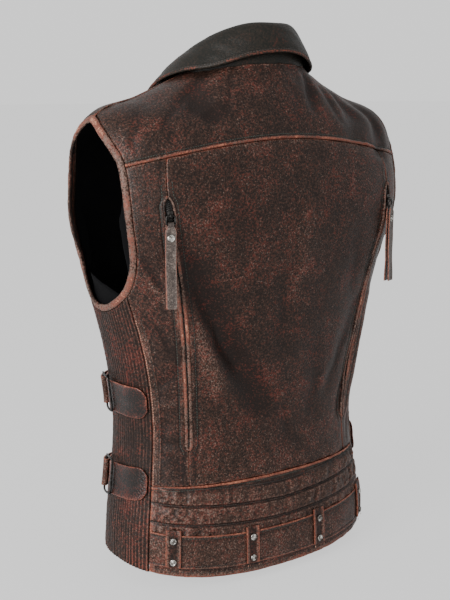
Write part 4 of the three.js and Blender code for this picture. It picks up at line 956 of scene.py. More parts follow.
# Half belt, with raw edges and a stitched row inside each
beltLook = {
    "columns": 170, "rows": 30, "width": 330, "nearEdge": (0.3, 0.7, 1.2, 1.9, 2.8, 3.7, 4.8),
    "endTurn": 0.8, "rise": 3.5, "row": 3.6,
}


def beltRelief(cut):
    rise = beltLook["rise"] + undulation(cut, 0.5, 71)
    rise += turnedEdge(np.minimum(cut.top, cut.bottom), 0.7, 0.9)
    for seam in ("top", "bottom"):
        rise += 0.25 * bump(cut.seams[seam], 1.2, 1.0) - 0.5 * bump(cut.seams[seam], beltLook["row"], 0.9)
    return rise + 0.5 * clothNoise(cut.u / 16, cut.w / 30, 72) + 0.2 * clothNoise(cut.u / 5, cut.w / 8, 73)


def beltWearAndShade(cut, rise):
    broken = 0.8 + 0.5 * clothNoise(cut.u / 28, 3, 74)
    lowBroken = 0.35 + 0.6 * clothNoise(cut.u / 12, 5, 75)
    # the belt is painted darker towards its right: painted shade
    shaded = np.clip((cut.psi - 105) / 30, 0, 1)
    wearAndShade = rubbed(cut, rise, 0.40 - 0.13 * shaded) - 0.2 * bump(cut.top, 5, 1.6)
    return wearAndShade + 0.9 * np.exp(-cut.top / 0.9) * broken + 0.7 * np.exp(-cut.bottom / 0.9) * lowBroken


def makeBelt():
    s = edgeSpread(beltLook["columns"], beltLook["width"])
    t = edgeSpread(beltLook["rows"], form["beltHeight"], beltLook["nearEdge"])
    turn = form["sideSeamTurn"] + beltLook["endTurn"]
    psi = backTurns(s, turn)
    left = beltPlace(np.full_like(t, turn), t)
    places = patch(beltPlace(psi, 0.0), beltPlace(psi, 1.0), left, mirror(left), s, t)
    made = addCut("half_belt_hide", places, beltRelief, beltWearAndShade, wornHide, creased=0.0)
    sewRow(made, "top", beltLook["row"], "green")
    sewRow(made, "bottom", beltLook["row"])


# Ribbed sides: fine stitched ribs, rubbed on their tops, with painted shade between them
ribLook = {"perRib": 6, "rows": 104, "height": 1.45, "pinch": 0.28, "pinchPitch": 2.6}


def ribPhase(cut):
    column = np.linspace(0, form["ribCount"], cut.z.shape[0])[:, None]
    inner = (column > 0.5) & (column < form["ribCount"] - 0.5)
    return column, (column + 0.10 * clothNoise(cut.w / 40, np.floor(column), 81) * inner) % 1


def ribRelief(cut):
    column, phase = ribPhase(cut)
    strength = ribLook["height"] * (1 + 0.2 * clothNoise(cut.w / 22, np.floor(column) * 1.7, 82))
    rounded = np.sqrt(np.maximum(1 - (2 * phase - 1) ** 2, 0))
    pinch = ribLook["pinch"] * clothNoise(cut.w / ribLook["pinchPitch"], np.floor(column) * 2.3, 83)
    return strength * rounded + pinch + undulation(cut, 0.5) - 0.4


def ribWearAndShade(cut, rise):
    column, phase = ribPhase(cut)
    top = np.clip(1 - np.abs(2 * phase - 1) * 1.5, 0, 1)
    low = np.exp(-cut.bottom / 55) + 0.25 * np.exp(-cut.top / 40)
    patchy = 0.5 + 0.5 * clothNoise(cut.w / 30, column / 3, 84)
    nearBack = np.exp(-cut.left / 18)
    # the valleys between the ribs are painted darker: painted shade
    return 0.26 + top * (0.10 + 0.34 * low + 0.16 * patchy + 0.25 * nearBack) - 0.15 * (1 - top)


def makeSides():
    s = np.linspace(0, 1, form["ribCount"] * ribLook["perRib"] + 1)
    t = np.linspace(0, 1, ribLook["rows"] + 1)
    turns = form["sideSeamTurn"] + (form["frontSeamTurn"] - form["sideSeamTurn"]) * s
    bottom = pair(turns, 0.0)
    top = panelEdge(form["armholeSideBack"] + (form["armholeSideFront"] - form["armholeSideBack"]) * s)
    hemZ = heightOf(bottom[0])
    left = sideSeam(hemZ + (heightOf(sideTop) - hemZ) * t)
    right = frontSeam(t)
    left[0], left[-1], right[0], right[-1] = bottom[0], top[0], bottom[-1], top[-1]
    places = patch(bottom, top, left, right, s, t)
    for side in (1, -1):
        name = f"side_panel_{sideName(side)}_hide"
        addCut(name, places, ribRelief, ribWearAndShade, ribHide, side, creased=0.0)


# Fronts, from the ribbed sides to the zip and the open neck edge
frontLook = {
    "columns": 76, "rows": 150, "width": 150, "length": 560, "seamShare": 0.65, "zipShare": 0.7,
    "seamRow": 5, "zipRow": 7, "hemRow": 9,
}


def frontRelief(cut):
    rise = undulation(cut, 1.2, 91) + turnedEdge(cut.edge, 1.2, 1.6)
    for seam, row, seed in (("right", "seamRow", 92), ("left", "zipRow", 93), ("bottom", "hemRow", 94)):
        rise += puckers(cut, seam, seed) - 0.6 * bump(cut.seams[seam], frontLook[row], 1.1)
    return rise


def frontWear(cut, rise):
    wearAndShade = rubbed(cut, rise) + 0.45 * np.exp(-cut.left / 2.2)
    return wearAndShade + 0.4 * np.exp(-cut.bottom / 2.5) + 0.35 * np.exp(-cut.right / 2.5)


# The open neck edge, for the part of an edge above a share of its length
def openingAbove(t, share):
    last = len(neckRows) - 1
    return neckOpening(np.clip(last * (t - share) / (1 - share), 0, last))


def makeFronts():
    s = edgeSpread(frontLook["columns"], frontLook["width"])
    t = edgeSpread(frontLook["rows"], frontLook["length"])
    zipShare, seamShare = frontLook["zipShare"], frontLook["seamShare"]
    opening = openingAbove(t, zipShare)
    zipEdge = centreFront(np.clip(t / zipShare, 0, 1), form["zipSlotHalf"])
    inner = np.where((t < zipShare)[:, None], zipEdge, opening)
    inner[0, 1] = 0
    above = np.clip((t - seamShare) / (1 - seamShare), 0, 1)
    armhole = panelEdge(form["armholeSideFront"] + (armholeCount - form["armholeSideFront"]) * above)
    outer = np.where((t < seamShare)[:, None], frontSeam(np.clip(t / seamShare, 0, 1)), armhole)
    outer[0] = (form["frontSeamTurn"], 0)
    top = mix(np.array([0.0, neckRing]), outer[-1], s)
    places = patch(mix(inner[0], outer[0], s), top, inner, outer, s, t)
    for side in (1, -1):
        made = addCut(f"front_{sideName(side)}_hide", places, frontRelief, frontWear, side=side)
        sewRow(made, "left", frontLook["zipRow"], end=0.69)
        sewRow(made, "right", frontLook["seamRow"])
        sewRow(made, "bottom", frontLook["hemRow"])


for make in (makeBack, makeBackSides, makeYoke, makeKidney, makeHem, makeBelt, makeSides, makeFronts):
    make()
print("leather panels made")


# Solid pieces, built in millimetres from bars, blocks and turned profiles
def barInto(bm, centre, across, out, wide, high, sides=12, closed=False, wearAndShade=0.0, crestShading=0.0):
    layer = bm.verts.layers.float.get("wearAndShade") or bm.verts.layers.float.new("wearAndShade")
    sizes = [np.broadcast_to(np.asarray(value, float), len(centre)) for value in (wide, high, wearAndShade)]
    wide, high, wearAndShade = (values[:, None] for values in sizes)
    turn = np.linspace(0, 2 * np.pi, sides + 1)[None]
    ring = centre[:, None] + across[:, None] * (np.cos(turn) * wide)[..., None]
    ring = ring + out[:, None] * (np.sin(turn) * high)[..., None]
    if closed:
        ring, wearAndShade = np.concatenate([ring, ring[:1]]), np.concatenate([wearAndShade, wearAndShade[:1]])
    rows = len(ring) - 1
    made = bmesh.ops.create_grid(bm, x_segments=rows, y_segments=sides, size=1)["verts"]
    for vert in made:
        i, j = round((vert.co.x + 1) / 2 * rows), round((vert.co.y + 1) / 2 * sides)
        # the outer crest is painted lighter and the sides and underside darker: painted highlight and shade
        vert.co, vert[layer] = ring[i, j], wearAndShade[i, 0] + crestShading * (math.sin(turn[0, j]) - 0.6)
    bmesh.ops.remove_doubles(bm, verts=made, dist=1e-3)


def blockInto(bm, size, centre, bevel, taper=0.0, segments=2):
    matrix = Matrix.Translation(centre) @ Matrix.Diagonal((*size, 1))
    verts = bmesh.ops.create_cube(bm, size=1, matrix=matrix)["verts"]
    for vert in verts:
        vert.co.x *= 1 - taper * (vert.co.y < centre[1])
    edges = list({edge for vert in verts for edge in vert.link_edges})
    rounded = {"affect": "EDGES", "profile": 0.5, "material": -1}
    bmesh.ops.bevel(bm, geom=edges, offset=bevel, segments=segments, **rounded)


def turnedInto(bm, profile, steps=28):
    verts = [bm.verts.new((radius, 0, height)) for radius, height in profile]
    edges = [bm.edges.new(ends) for ends in zip(verts[:-1], verts[1:])]
    around = {"cent": (0, 0, 0), "axis": (0, 0, 1), "angle": 2 * math.pi, "use_merge": True}
    bmesh.ops.spin(bm, geom=verts + edges, steps=steps, **around)
    bmesh.ops.remove_doubles(bm, verts=bm.verts, dist=1e-3)


def addSolid(name, bm, material, matrix=None, rides=body, replaced=()):
    bmesh.ops.holes_fill(bm, edges=[edge for edge in bm.edges if edge.is_boundary], sides=0)
    bmesh.ops.recalc_face_normals(bm, faces=bm.faces)
    mesh = meshOf(name, bm)
    mesh.transform((matrix or Matrix()) @ Matrix.Scale(millimetre, 4))
    return newObject(name, mesh, material, rides, replaced)


def framed(point, across, up, out):
    turn = Matrix(np.column_stack([across, up, out])).to_4x4()
    return Matrix.Translation(Vector(point * millimetre)) @ turn


# Across, up the form and out of it, at a place
def seatAt(at, rise, creased=1.0):
    _, around, _, out = formFrame(at)
    across = unit(around)
    return framed(foldedSkin(at, rise, creased), across, np.cross(out, across), out)


# Copies of one small mesh, joined
def addCopies(name, template, matrices, material):
    bm = bmesh.new()
    for matrix in matrices:
        template.transform(matrix)
        bm.from_mesh(template)
        template.transform(matrix.inverted())
    newObject(name, meshOf(name, bm), material)


# Which way a closed path runs at each of its points
def aroundLoop(points):
    return unit(np.roll(points, -1, 0) - np.roll(points, 1, 0))


def smoothPath(rows, count, closed=False):
    rows = np.asarray(rows, float)
    last = len(rows) if closed else len(rows) - 1
    a = np.linspace(0, last, count, endpoint=not closed)
    return rowsAt(rows, a if closed else np.minimum(a, last - 1e-6), closed)


# Rolled binding round the armholes, gathered where the ribs meet it
bindingLook = {
    "count": 380, "wide": 4.5, "high": 2.7, "gather": 0.5, "pitch": 4.1, "ribsAt": 8.8, "ribsRun": 2.6,
    "crestShading": 0.4,
}


def makeBindings():
    a = np.linspace(0, armholeCount, bindingLook["count"], endpoint=False)
    at, away = armholeAt(a), armholeAway(a)
    for side in (1, -1):
        placed = onSide(side, at)
        _, _, _, out = formFrame(placed)
        across = away * np.array([side, 1, 1])
        centre = foldedSkin(placed, -form["bindingDepth"])
        run = np.concatenate([[0], np.cumsum(np.linalg.norm(np.diff(centre, axis=0), axis=1))])
        ribbed = 1 - np.abs(a - bindingLook["ribsAt"]) / bindingLook["ribsRun"]
        turns = run / bindingLook["pitch"] * 2 * np.pi + 2 * clothNoise(run / 30, 1, 101)
        waves = np.sin(turns) * (0.3 + 0.7 * np.sqrt(np.clip(ribbed, 0, 1)))
        waves = 0.6 * waves + 0.8 * clothNoise(run / 6, 2, 102)
        wearAndShade = 0.58 + 0.28 * clothNoise(run / 24, 3, 103) + 0.12 * waves
        bm = bmesh.new()
        wide, high = bindingLook["wide"] + 0.3 * waves, bindingLook["high"] + bindingLook["gather"] * waves
        # the binding's crest and sides get painted highlight and shade
        barInto(bm, centre, across, out, wide, high, 16, True, wearAndShade, bindingLook["crestShading"])
        name = f"armhole_binding_{sideName(side)}"
        addSolid(name + "_hide", bm, edgeHide, replaced=(name,))


# Back zips: two rolled lips that bow round the slider, with tape and teeth behind them
zipLook = {
    "top": -138, "bottom": -455, "eyeTop": -140, "eyeBottom": -184, "lipHalf": 2.2, "lipHigh": 1.7,
    "lipAt": 2.9, "eyeAt": 6.2, "tapeRise": -0.6, "tapeThick": 1.2, "toothPitch": 2.3, "toothRise": 0.5,
    "toothLean": 1.05, "tooth": (3.2, 1.25, 1.5), "sliderZ": -160, "sliderRise": -0.2,
}


def zipPlaceAt(z, offset):
    return slideRound(place(zipTurnAt(z), z), offset)


def makeLips(side):
    z = np.linspace(zipLook["top"], zipLook["bottom"], 190)
    eye = np.clip((zipLook["eyeTop"] - z) / (zipLook["eyeTop"] - zipLook["eyeBottom"]), 0, 1)
    bow = np.sin(np.pi * eye ** 0.8) ** 0.8
    ends = np.clip((zipLook["top"] - z) / 7, 0, 1) * np.clip((z - zipLook["bottom"]) / 5, 0, 1)
    ends = ends ** 0.6
    opened = (zipLook["eyeAt"] - zipLook["lipAt"]) * bow * ends
    middle = 0.7 + (zipLook["lipAt"] - 0.7) * ends + opened
    for lip, way in (("inner", 1), ("outer", -1)):
        at = onSide(side, zipPlaceAt(z, way * middle))
        _, around, _, out = formFrame(at)
        waves = clothNoise(z / 7, way * 3, 111)
        centre = foldedSkin(at, 0.5 + 0.25 * waves)
        half = zipLook["lipHalf"] * (0.7 + 0.3 * ends) - 0.6 * bow
        wearAndShade = 0.58 + 0.24 * clothNoise(z / 22, way * 5, 112) + 0.1 * waves - (0.32 - 0.10 * way) * bow
        bm = bmesh.new()
        # the lip's crest and sides get painted highlight and shade
        barInto(bm, centre, unit(around), out, half, zipLook["lipHigh"], 12, wearAndShade=wearAndShade, crestShading=0.3)
        replaced = (f"back_zip_welt_{sideName(side)}",) if way > 0 else ()
        addSolid(f"zip_lip_{lip}_{sideName(side)}", bm, edgeHide, replaced=replaced)


def addTeeth(name, z, side, placeAt):
    tooth = bmesh.new()
    blockInto(tooth, zipLook["tooth"], (0, 0, 0), 0.28, segments=1)
    matrices = []
    for lean in (1, -1):
        at = onSide(side, placeAt(z + lean * zipLook["toothPitch"] / 4, lean * zipLook["toothLean"]))
        _, around, _, out = formFrame(at)
        across, up = unit(around), np.cross(out, unit(around))
        points = foldedSkin(at, zipLook["tapeRise"] + zipLook["toothRise"])
        matrices += [framed(*row) @ Matrix.Scale(millimetre, 4) for row in zip(points, across, up, out)]
    addCopies(name, meshOf("tooth", tooth), matrices, gunmetal)


def addTape(name, z, half, side, placeAt, replaced):
    at = onSide(side, np.stack([placeAt(z, half * share) for share in np.linspace(-1, 1, 9)]))
    points = foldedSkin(at, zipLook["tapeRise"])
    out = formFrame(at)[3]
    addWall(name, points, out, 0.0, zipTape, zipLook["tapeThick"], replaced=replaced)


def addSlider(name, at):
    bm = bmesh.new()
    blockInto(bm, (6.8, 13, 1.3), (0, -0.4, 2.7), 0.55, 0.28)
    blockInto(bm, (3.4, 11, 2.6), (0, 0, 1.3), 0.3)
    turn = np.linspace(0, 2 * np.pi, 24, endpoint=False)
    circle = np.stack([np.zeros_like(turn), np.cos(turn), np.sin(turn)], -1)
    across = np.broadcast_to(np.array([1.0, 0, 0]), circle.shape)
    barInto(bm, circle * 2.35 + np.array([0, 0, 5.3]), across, circle, 1.5, 0.55, 10, True)
    seat = seatAt(at, zipLook["sliderRise"], 0.0)
    addSolid(name + "_metal", bm, gunmetal, seat, replaced=(name,))


# A pull hangs plumb from its slider: across the hinge, towards the vest and up
def plumbAt(at):
    point, around, _, out = formFrame(at)
    across, up = unit(np.array([around[0], around[1], 0])), np.array([0.0, 0, 1])
    lift = zipLook["sliderRise"] + pullLook["hingeOut"] + float(alongLine(folds, at[0], point[2]))
    return framed(point + out * lift, across, np.cross(up, across), up)


# The tail's rows: how far out of the pull's middle, and how high
pullLook = {
    "hingeOut": 5.6, "linkHalf": 5.1, "linkDrop": 10, "linkCorner": 1.8, "wire": 1.0, "strapHalf": 6.25,
    "strapThick": 1.6, "neckHalf": 3.3, "neckFrom": 1.5, "neckRun": 6, "rivetDrop": 15, "rivetOut": 2.4,
    "tail": [(2.6, -97), (2.2, -80), (1.5, -62), (1.7, -44), (1.4, -27), (1.6, -13), (2.1, -4)],
    "over": 2.3, "rivetRadius": 4.6, "rivetHeight": 2,
}


def roundedLoop(half, top, bottom, corner, steps=6):
    points, side, high, low = [], half - corner, top - corner, bottom + corner
    for x, z, start in ((side, high, 0), (-side, high, 90), (-side, low, 180), (side, low, 270)):
        turn = np.radians(start + np.linspace(0, 90, steps))
        points.append(np.stack([x + corner * np.cos(turn), np.zeros(steps), z + corner * np.sin(turn)], -1))
    return np.concatenate(points)


def loopInto(bm, loop, wide, high, sides):
    side = np.broadcast_to(np.array([0.0, -1, 0]), loop.shape)
    barInto(bm, loop, side, np.cross(aroundLoop(loop), side), wide, high, sides, True)


def addWire(name, loop, radius, matrix, rides, replaced):
    bm = bmesh.new()
    loopInto(bm, loop, radius, radius, 12)
    addSolid(name, bm, gunmetal, matrix, rides, replaced)


# A rivet's cap with a ringed face: radius and height, from the rim to the middle
rivetProfile = [
    (0, 0), (1, 0), (1.02, 0.18), (0.95, 0.5), (0.82, 0.74), (0.68, 0.8), (0.62, 0.62), (0.54, 0.6),
    (0.46, 0.84), (0.34, 0.98), (0.24, 0.92), (0.14, 0.8), (0.06, 0.86), (0, 0.88),
]


def addRivet(name, radius, height, matrix, rides, replaced, turn=0.0):
    bm = bmesh.new()
    turnedInto(bm, [(out * radius, up * height) for out, up in rivetProfile], 32)
    for k in range(8):
        angle = turn + k * math.pi / 4
        where = (math.cos(angle) * radius * 0.58, math.sin(angle) * radius * 0.58, height * 0.62)
        at = Matrix.Translation(where)
        bmesh.ops.create_icosphere(bm, subdivisions=1, radius=radius * 0.085, matrix=at)
    addSolid(name, bm, pewter, matrix, rides, replaced)


# One strip of leather that goes down behind, over the link and down again in front
def makePullStrap(side, matrix, rides):
    turns = np.linspace(0, np.pi, 7)
    arch = list(zip(pullLook["over"] * np.cos(turns), pullLook["over"] * np.sin(turns)))
    path = pullLook["tail"] + arch + [(-away * 0.8, z) for away, z in reversed(pullLook["tail"])]
    path = smoothPath(path, 170)
    full = np.clip((-path[:, 1] - pullLook["neckFrom"]) / pullLook["neckRun"], 0, 1)
    half = pullLook["neckHalf"] + (pullLook["strapHalf"] - pullLook["neckHalf"]) * full ** 0.7
    share = edgeSpread(14, 12.5, (0.35, 0.8))[:, None]
    x = (2 * share - 1) * half + 0.4 * np.sin(path[:, 1] / 26) * side
    curl = 0.35 * clothNoise(path[:, 1] / 18, share * 2, 121) * full
    depth = -(path[:, 0] + curl + 0.5 * (2 * share - 1) ** 2 * full * np.sign(path[:, 0]))
    local = np.stack([x, depth, np.broadcast_to(path[:, 1] - pullLook["linkDrop"], x.shape)], -1)
    turn = np.array(matrix.to_3x3())
    points = local @ turn.T + np.array(matrix.translation) / millimetre
    tangent = np.gradient(path, axis=0)
    away = np.stack([np.zeros(len(path)), tangent[:, 1], -tangent[:, 0]], -1)
    out = np.broadcast_to(unit(away) @ turn.T, points.shape)
    cut = Cut(points)
    wearAndShade = 0.34 + 0.95 * np.exp(-np.minimum(cut.left, cut.right) / 0.4) + 0.4 * np.exp(-cut.bottom / 0.6)
    wearAndShade = wearAndShade - 1.2 * np.clip(1 + path[:, 1] / 3, 0, 1)
    wearAndShade = wearAndShade + 0.12 * clothNoise(cut.w / 12, cut.u / 4, 122)
    name, thick = f"pull_strap_{sideName(side)}", pullLook["strapThick"]
    strap = addWall(name + "_hide", points, out, wearAndShade, strapHide, thick, rides, (name,))
    strap.modifiers["thickness"].offset = 0


def makePull(side, matrix):
    label, rides = sideName(side), f"pull_{sideName(side)}"
    loop = roundedLoop(pullLook["linkHalf"], 0, -pullLook["linkDrop"], pullLook["linkCorner"])
    addWire(f"pull_link_{label}_wire", loop, pullLook["wire"], matrix, rides, (f"pull_link_{label}",))
    makePullStrap(side, matrix, rides)
    where = Vector((0, -pullLook["rivetOut"], -pullLook["linkDrop"] - pullLook["rivetDrop"])) * millimetre
    seat = matrix @ Matrix.Translation(where) @ Matrix.Rotation(math.radians(90), 4, "X")
    name = f"pull_rivet_{label}"
    addRivet(name + "_cap", pullLook["rivetRadius"], pullLook["rivetHeight"], seat, rides, (name,), 0.3)


def makeBackZips():
    for side in (1, -1):
        label = sideName(side)
        makeLips(side)
        z = np.linspace(zipLook["top"] - 4, zipLook["bottom"] + 4, 132)
        half = np.maximum(slotHalf(z) - 0.35, 0.1)
        addTape(f"zip_tape_{label}", z, half, side, zipPlaceAt, (f"back_zip_{label}",))
        addTeeth(f"zip_teeth_{label}", z, side, zipPlaceAt)
        at = onSide(side, zipPlaceAt(np.array(float(zipLook["sliderZ"])), 0.0))
        addSlider(f"back_zip_slider_{label}", at)
        makePull(side, plumbAt(at))


# Front zip with its slider and metal pull
frontZipLook = {
    "tapeHalf": 3.85, "tapeFoot": 2.5, "sliderDrop": 9, "ringHalf": 4.6, "ringDrop": 8.6, "thick": 1.5,
    "plate": [(3.0, -7.6), (4.7, -9.4), (3.7, -14), (3.5, -33), (2.4, -36.6)],
}


def frontZipPlace(z, offset):
    return nudge(place(-90.0, z), np.array([1.0, 0, 0]), offset)


# The metal pull: a ring on the slider and a plate with rounded edges
def makeFrontPull(matrix):
    bm = bmesh.new()
    loop = roundedLoop(frontZipLook["ringHalf"], 0.8, -frontZipLook["ringDrop"], 1.6)
    loopInto(bm, loop, frontZipLook["thick"] / 2, 0.85, 10)
    rows = frontZipLook["plate"]
    outline = rows + [(-x, z) for x, z in reversed(rows)]
    verts = [bm.verts.new((x, -frontZipLook["thick"] / 2, z)) for x, z in outline]
    face = bm.faces.new(verts)
    raised = bmesh.ops.extrude_face_region(bm, geom=[face])["geom"]
    moved = [item for item in raised if isinstance(item, bmesh.types.BMVert)]
    bmesh.ops.translate(bm, verts=moved, vec=(0, frontZipLook["thick"], 0))
    edges = list({edge for vert in verts + moved for edge in vert.link_edges})
    bmesh.ops.bevel(bm, geom=edges, offset=0.35, affect="EDGES", segments=2, profile=0.5, material=-1)
    addSolid("front_zip_pull_plate", bm, pewter, matrix, "front_pull", ("front_zip_pull",))


def makeFrontZip():
    bottom = float(heightOf(np.array([-90.0, 0.0])))
    z = np.linspace(form["breakHeight"] - 1, bottom + frontZipLook["tapeFoot"], 165)
    addTape("front_zip_tape", z, frontZipLook["tapeHalf"], 1, frontZipPlace, ("front_zip",))
    addTeeth("front_zip_teeth", z, 1, frontZipPlace)
    at = place(-90.0, form["breakHeight"] - frontZipLook["sliderDrop"])
    addSlider("front_zip_slider", at)
    makeFrontPull(plumbAt(at))


# Belt loops: a strip over the belt with raised raw edges, riveted near both ends
loopLook = {
    "turns": [40, 73.5, 106.5, 140], "width": 18, "under": 1.5, "over": 6, "rise": 6.2, "rivetInset": 7,
    "rivetRadius": 4.2, "rivetHeight": 2, "columns": 22, "rows": 44,
}


def loopRelief(cut):
    side = np.minimum(cut.left, cut.right)
    rise = loopLook["rise"] + 0.35 * bump(side, 1.2, 1.1) - 0.9 * np.clip((side - 2.6) / 2, 0, 1)
    beyond = np.clip((cut.bottom - loopLook["under"] - form["beltHeight"]) / loopLook["over"], 0, 1)
    rise += -1.6 * beyond ** 1.5 + 0.35 * clothNoise(cut.u / 6, cut.w / 9, 131)
    return rise + 0.5 * bump(cut.w, loopLook["under"] + loopLook["rivetInset"], 5) * (side > 3) - 0.3


def loopWear(cut, rise):
    side = np.minimum(cut.left, cut.right)
    broken = 0.9 + 0.3 * clothNoise(cut.w / 8, cut.psi, 132)
    wearAndShade = 0.50 - 0.38 * np.clip((side - 3) / 2, 0, 1) + 0.75 * np.exp(-side / 1.3) * broken
    return wearAndShade + 0.25 * np.exp(-np.minimum(cut.bottom, cut.top) / 1.5)


def makeLoops():
    s = edgeSpread(loopLook["columns"], loopLook["width"], (0.35, 0.7))
    t = edgeSpread(loopLook["rows"], 48)
    for k, psi in enumerate(loopLook["turns"]):
        low = beltPlace(psi, loopLook["under"] / form["beltHeight"])
        high = beltPlace(psi, 1 + loopLook["over"] / form["beltHeight"])
        middle = mix(low, high, t)[None]
        places = slideRound(middle, loopLook["width"] * (s[:, None] - 0.5))
        name = f"belt_loop_{k + 1}"
        made = addCut(name + "_hide", places, loopRelief, loopWear, wornHide, creased=0.0)
        for seam in ("left", "right"):
            line, ways = rowAlong(*made, seam, 1.2)
            foot = line[:1] + np.array([[0, 0, -0.2], [0, 0, -2.4], [0, 0, -6.2]])
            stitchRows.append({"line": foot, "out": np.repeat(ways[:1], 3, 0), "kind": "tan", "pitch": 3.1})
        heights = form["beltHeight"] - loopLook["rivetInset"], loopLook["rivetInset"] + loopLook["under"]
        for index, height in enumerate(heights, 2 * k + 1):
            seat = seatAt(beltPlace(psi, height / form["beltHeight"]), loopLook["rise"] + 0.1, 0.0)
            name, radius, high = f"loop_rivet_{index}", loopLook["rivetRadius"], loopLook["rivetHeight"]
            addRivet(name + "_cap", radius, high, seat, body, (name,), 0.4 * index)


# Side straps: a broad tab drawn through a wire buckle, and the turned keeper that holds the buckle
straps = table("level z forward half", [("upper", -395, 0, 20.5), ("lower", -498, -7, 21)])
# The keeper's path runs round the form and out of it, the frame's is in shares of its box
strapLook = {
    "tabRear": 25, "tabFront": -14, "tabRise": 4.3, "lift": 2.6, "liftShare": 0.42, "liftPower": 1.5,
    "endShare": 0.22, "endCut": 0.8, "endPower": 2.4, "keeperHalf": 17.5, "frameFront": -23.4,
    "frameRear": -9, "frameLow": 7, "frameHigh": 7.7, "frameOver": 2, "frameUp": 1.6, "wire": 1.35,
    "keeperPath": [
        (-38, 5.5), (-35, 7.4), (-31, 9.6), (-27.5, 10.7), (-24.8, 11.1), (-23.4, 10.8), (-22.45, 9.4),
        (-22.15, 7.2), (-22.5, 4.9), (-23.6, 3.4), (-25.5, 2.2), (-30, 1.3), (-38, 1.0),
    ],
    "framePath": [
        (0, -0.85), (0, 0), (0, 0.85), (0.18, 1), (0.82, 1), (1, 0.85), (1, 0), (1, -0.85), (0.82, -1),
        (0.18, -1),
    ],
}


def tabRelief(cut):
    share = cut.u / np.maximum(cut.u[-1:], 1)
    lift = strapLook["lift"] * np.maximum(1 - share / strapLook["liftShare"], 0) ** strapLook["liftPower"]
    rise = strapLook["tabRise"] + lift + 0.55 * bump(cut.edge, 1.2, 0.9) - 0.35 * bump(cut.edge, 3.2, 1.2)
    dip = np.exp(-((share - 0.5) / 0.28) ** 2) * np.clip(cut.edge / 12, 0, 1)
    return rise - 0.9 * dip + 0.3 * clothNoise(cut.u / 14, cut.w / 12, 141) + turnedEdge(cut.edge, 0.6, 0.8)


def tabWear(cut, rise):
    centre = np.clip(cut.edge / 11, 0, 1)
    broken = 0.9 + 0.25 * clothNoise(cut.u / 9, cut.w / 9, 142)
    wearAndShade = 0.54 - 0.44 * centre + 0.12 * clothNoise(cut.u / 8, cut.w / 8, 143)
    return wearAndShade + 0.6 * np.exp(-cut.edge / 1.1) * broken


def strapFrame(at, rise):
    point, _, _, out = formFrame(at)
    lift = rise + alongLine(folds, at[..., 0], point[..., 2])
    return point + out * lift[..., None], out


# A place on a strap, by its turn round the form and its height above the strap's middle line
def strapPlace(strap, psi, away):
    slope = strap["forward"] / (strapLook["tabRear"] - strapLook["tabFront"])
    return place(psi, strap["z"] + slope * (strapLook["tabRear"] - psi) + away)


def makeTab(label, side, strap):
    s, t = edgeSpread(52, 120, (0.4, 0.9)), edgeSpread(28, 41, (0.4, 0.9, 1.5))
    psi = strapLook["tabFront"] + (strapLook["tabRear"] - strapLook["tabFront"]) * s[:, None]
    rounded = np.maximum((s[:, None] - 1) / strapLook["endShare"] + 1, 0) ** strapLook["endPower"]
    reach = strap["half"] * np.sqrt(1 - strapLook["endCut"] * rounded)
    places = strapPlace(strap, psi, reach * (2 * t - 1))
    addCut(f"strap_tab_{label}_hide", places, tabRelief, tabWear, tabHide, side, creased=0.0)


def makeKeeper(label, side, strap):
    psi, lift = smoothPath(strapLook["keeperPath"], 60).T
    v = edgeSpread(20, 30, (0.4, 0.9))[:, None]
    at = onSide(side, strapPlace(strap, psi, strapLook["keeperHalf"] * (2 * v - 1)))
    points, out = strapFrame(at, lift + 0.25 * clothNoise(psi / 3, v * 3, 144))
    cut = Cut(points)
    normal = unit(np.cross(np.gradient(points, axis=0), np.gradient(points, axis=1)))
    normal = normal * np.sign((normal[:, 2:12] * out[:, 2:12]).sum())
    wearAndShade = 0.42 + 0.7 * np.exp(-np.minimum(cut.left, cut.right) / 0.9)
    wearAndShade = wearAndShade + 0.12 * clothNoise(cut.u / 8, cut.w / 8, 145)
    name = f"strap_keeper_{label}"
    addWall(name + "_hide", points, normal, wearAndShade, wornHide, form["leather"], replaced=(name,))


def makeBuckle(label, side, strap):
    share, up = smoothPath(strapLook["framePath"], 72, True).T
    psi = strapLook["frameFront"] + (strapLook["frameRear"] - strapLook["frameFront"]) * share
    away = strapLook["frameUp"] + (strap["half"] + strapLook["frameOver"]) * up
    lift = strapLook["frameLow"] + (strapLook["frameHigh"] - strapLook["frameLow"]) * share
    centre, out = strapFrame(onSide(side, strapPlace(strap, psi, away)), lift)
    bm = bmesh.new()
    across = unit(np.cross(aroundLoop(centre), out))
    barInto(bm, centre, across, out, strapLook["wire"], strapLook["wire"], 12, True)
    name = f"strap_buckle_{label}"
    addSolid(name + "_wire", bm, gunmetal, replaced=(name,))


def makeStraps():
    for side in (1, -1):
        for strap in straps:
            for make in (makeTab, makeKeeper, makeBuckle):
                make(f"{strap['level']}_{sideName(side)}", side, strap)


# Collar: a dark stand on the neck edge, and a leaf over the roll that falls to a piped edge
# From centre back to the left end: psi of the neck edge, the roll's x, y, z and the outer edge's
collarRows = np.array([
    (90, 0, 72, 57, 0, 92, 25), (62, 31, 61, 56, 40, 81, 20), (34, 56, 37, 46, 76, 54, 7),
    (8, 67, 5, 31, 103, 12, 0), (-16, 69, -27, 14, 112, -28, -15), (-36, 67, -49, -3, 105, -62, -38),
    (-50, 62, -62, -21, 92, -86, -66),
], float)
collarLook = {
    "columns": 180, "standRows": 24, "fallRows": 52, "clear": 0.7, "rollIn": 1.6, "rollOut": 11,
    "rollUp": 6, "ease": 1.3, "pipeAt": 1.6, "pipeHigh": 1.3, "tuck": [(2.9, -6), (2.7, -2.5), (1.6, 0)],
    "inner": [(-5.0, -26), (-5.0, -14), (-4.9, -5), (-4.3, 0.4), (-3.1, 2.2)],
}


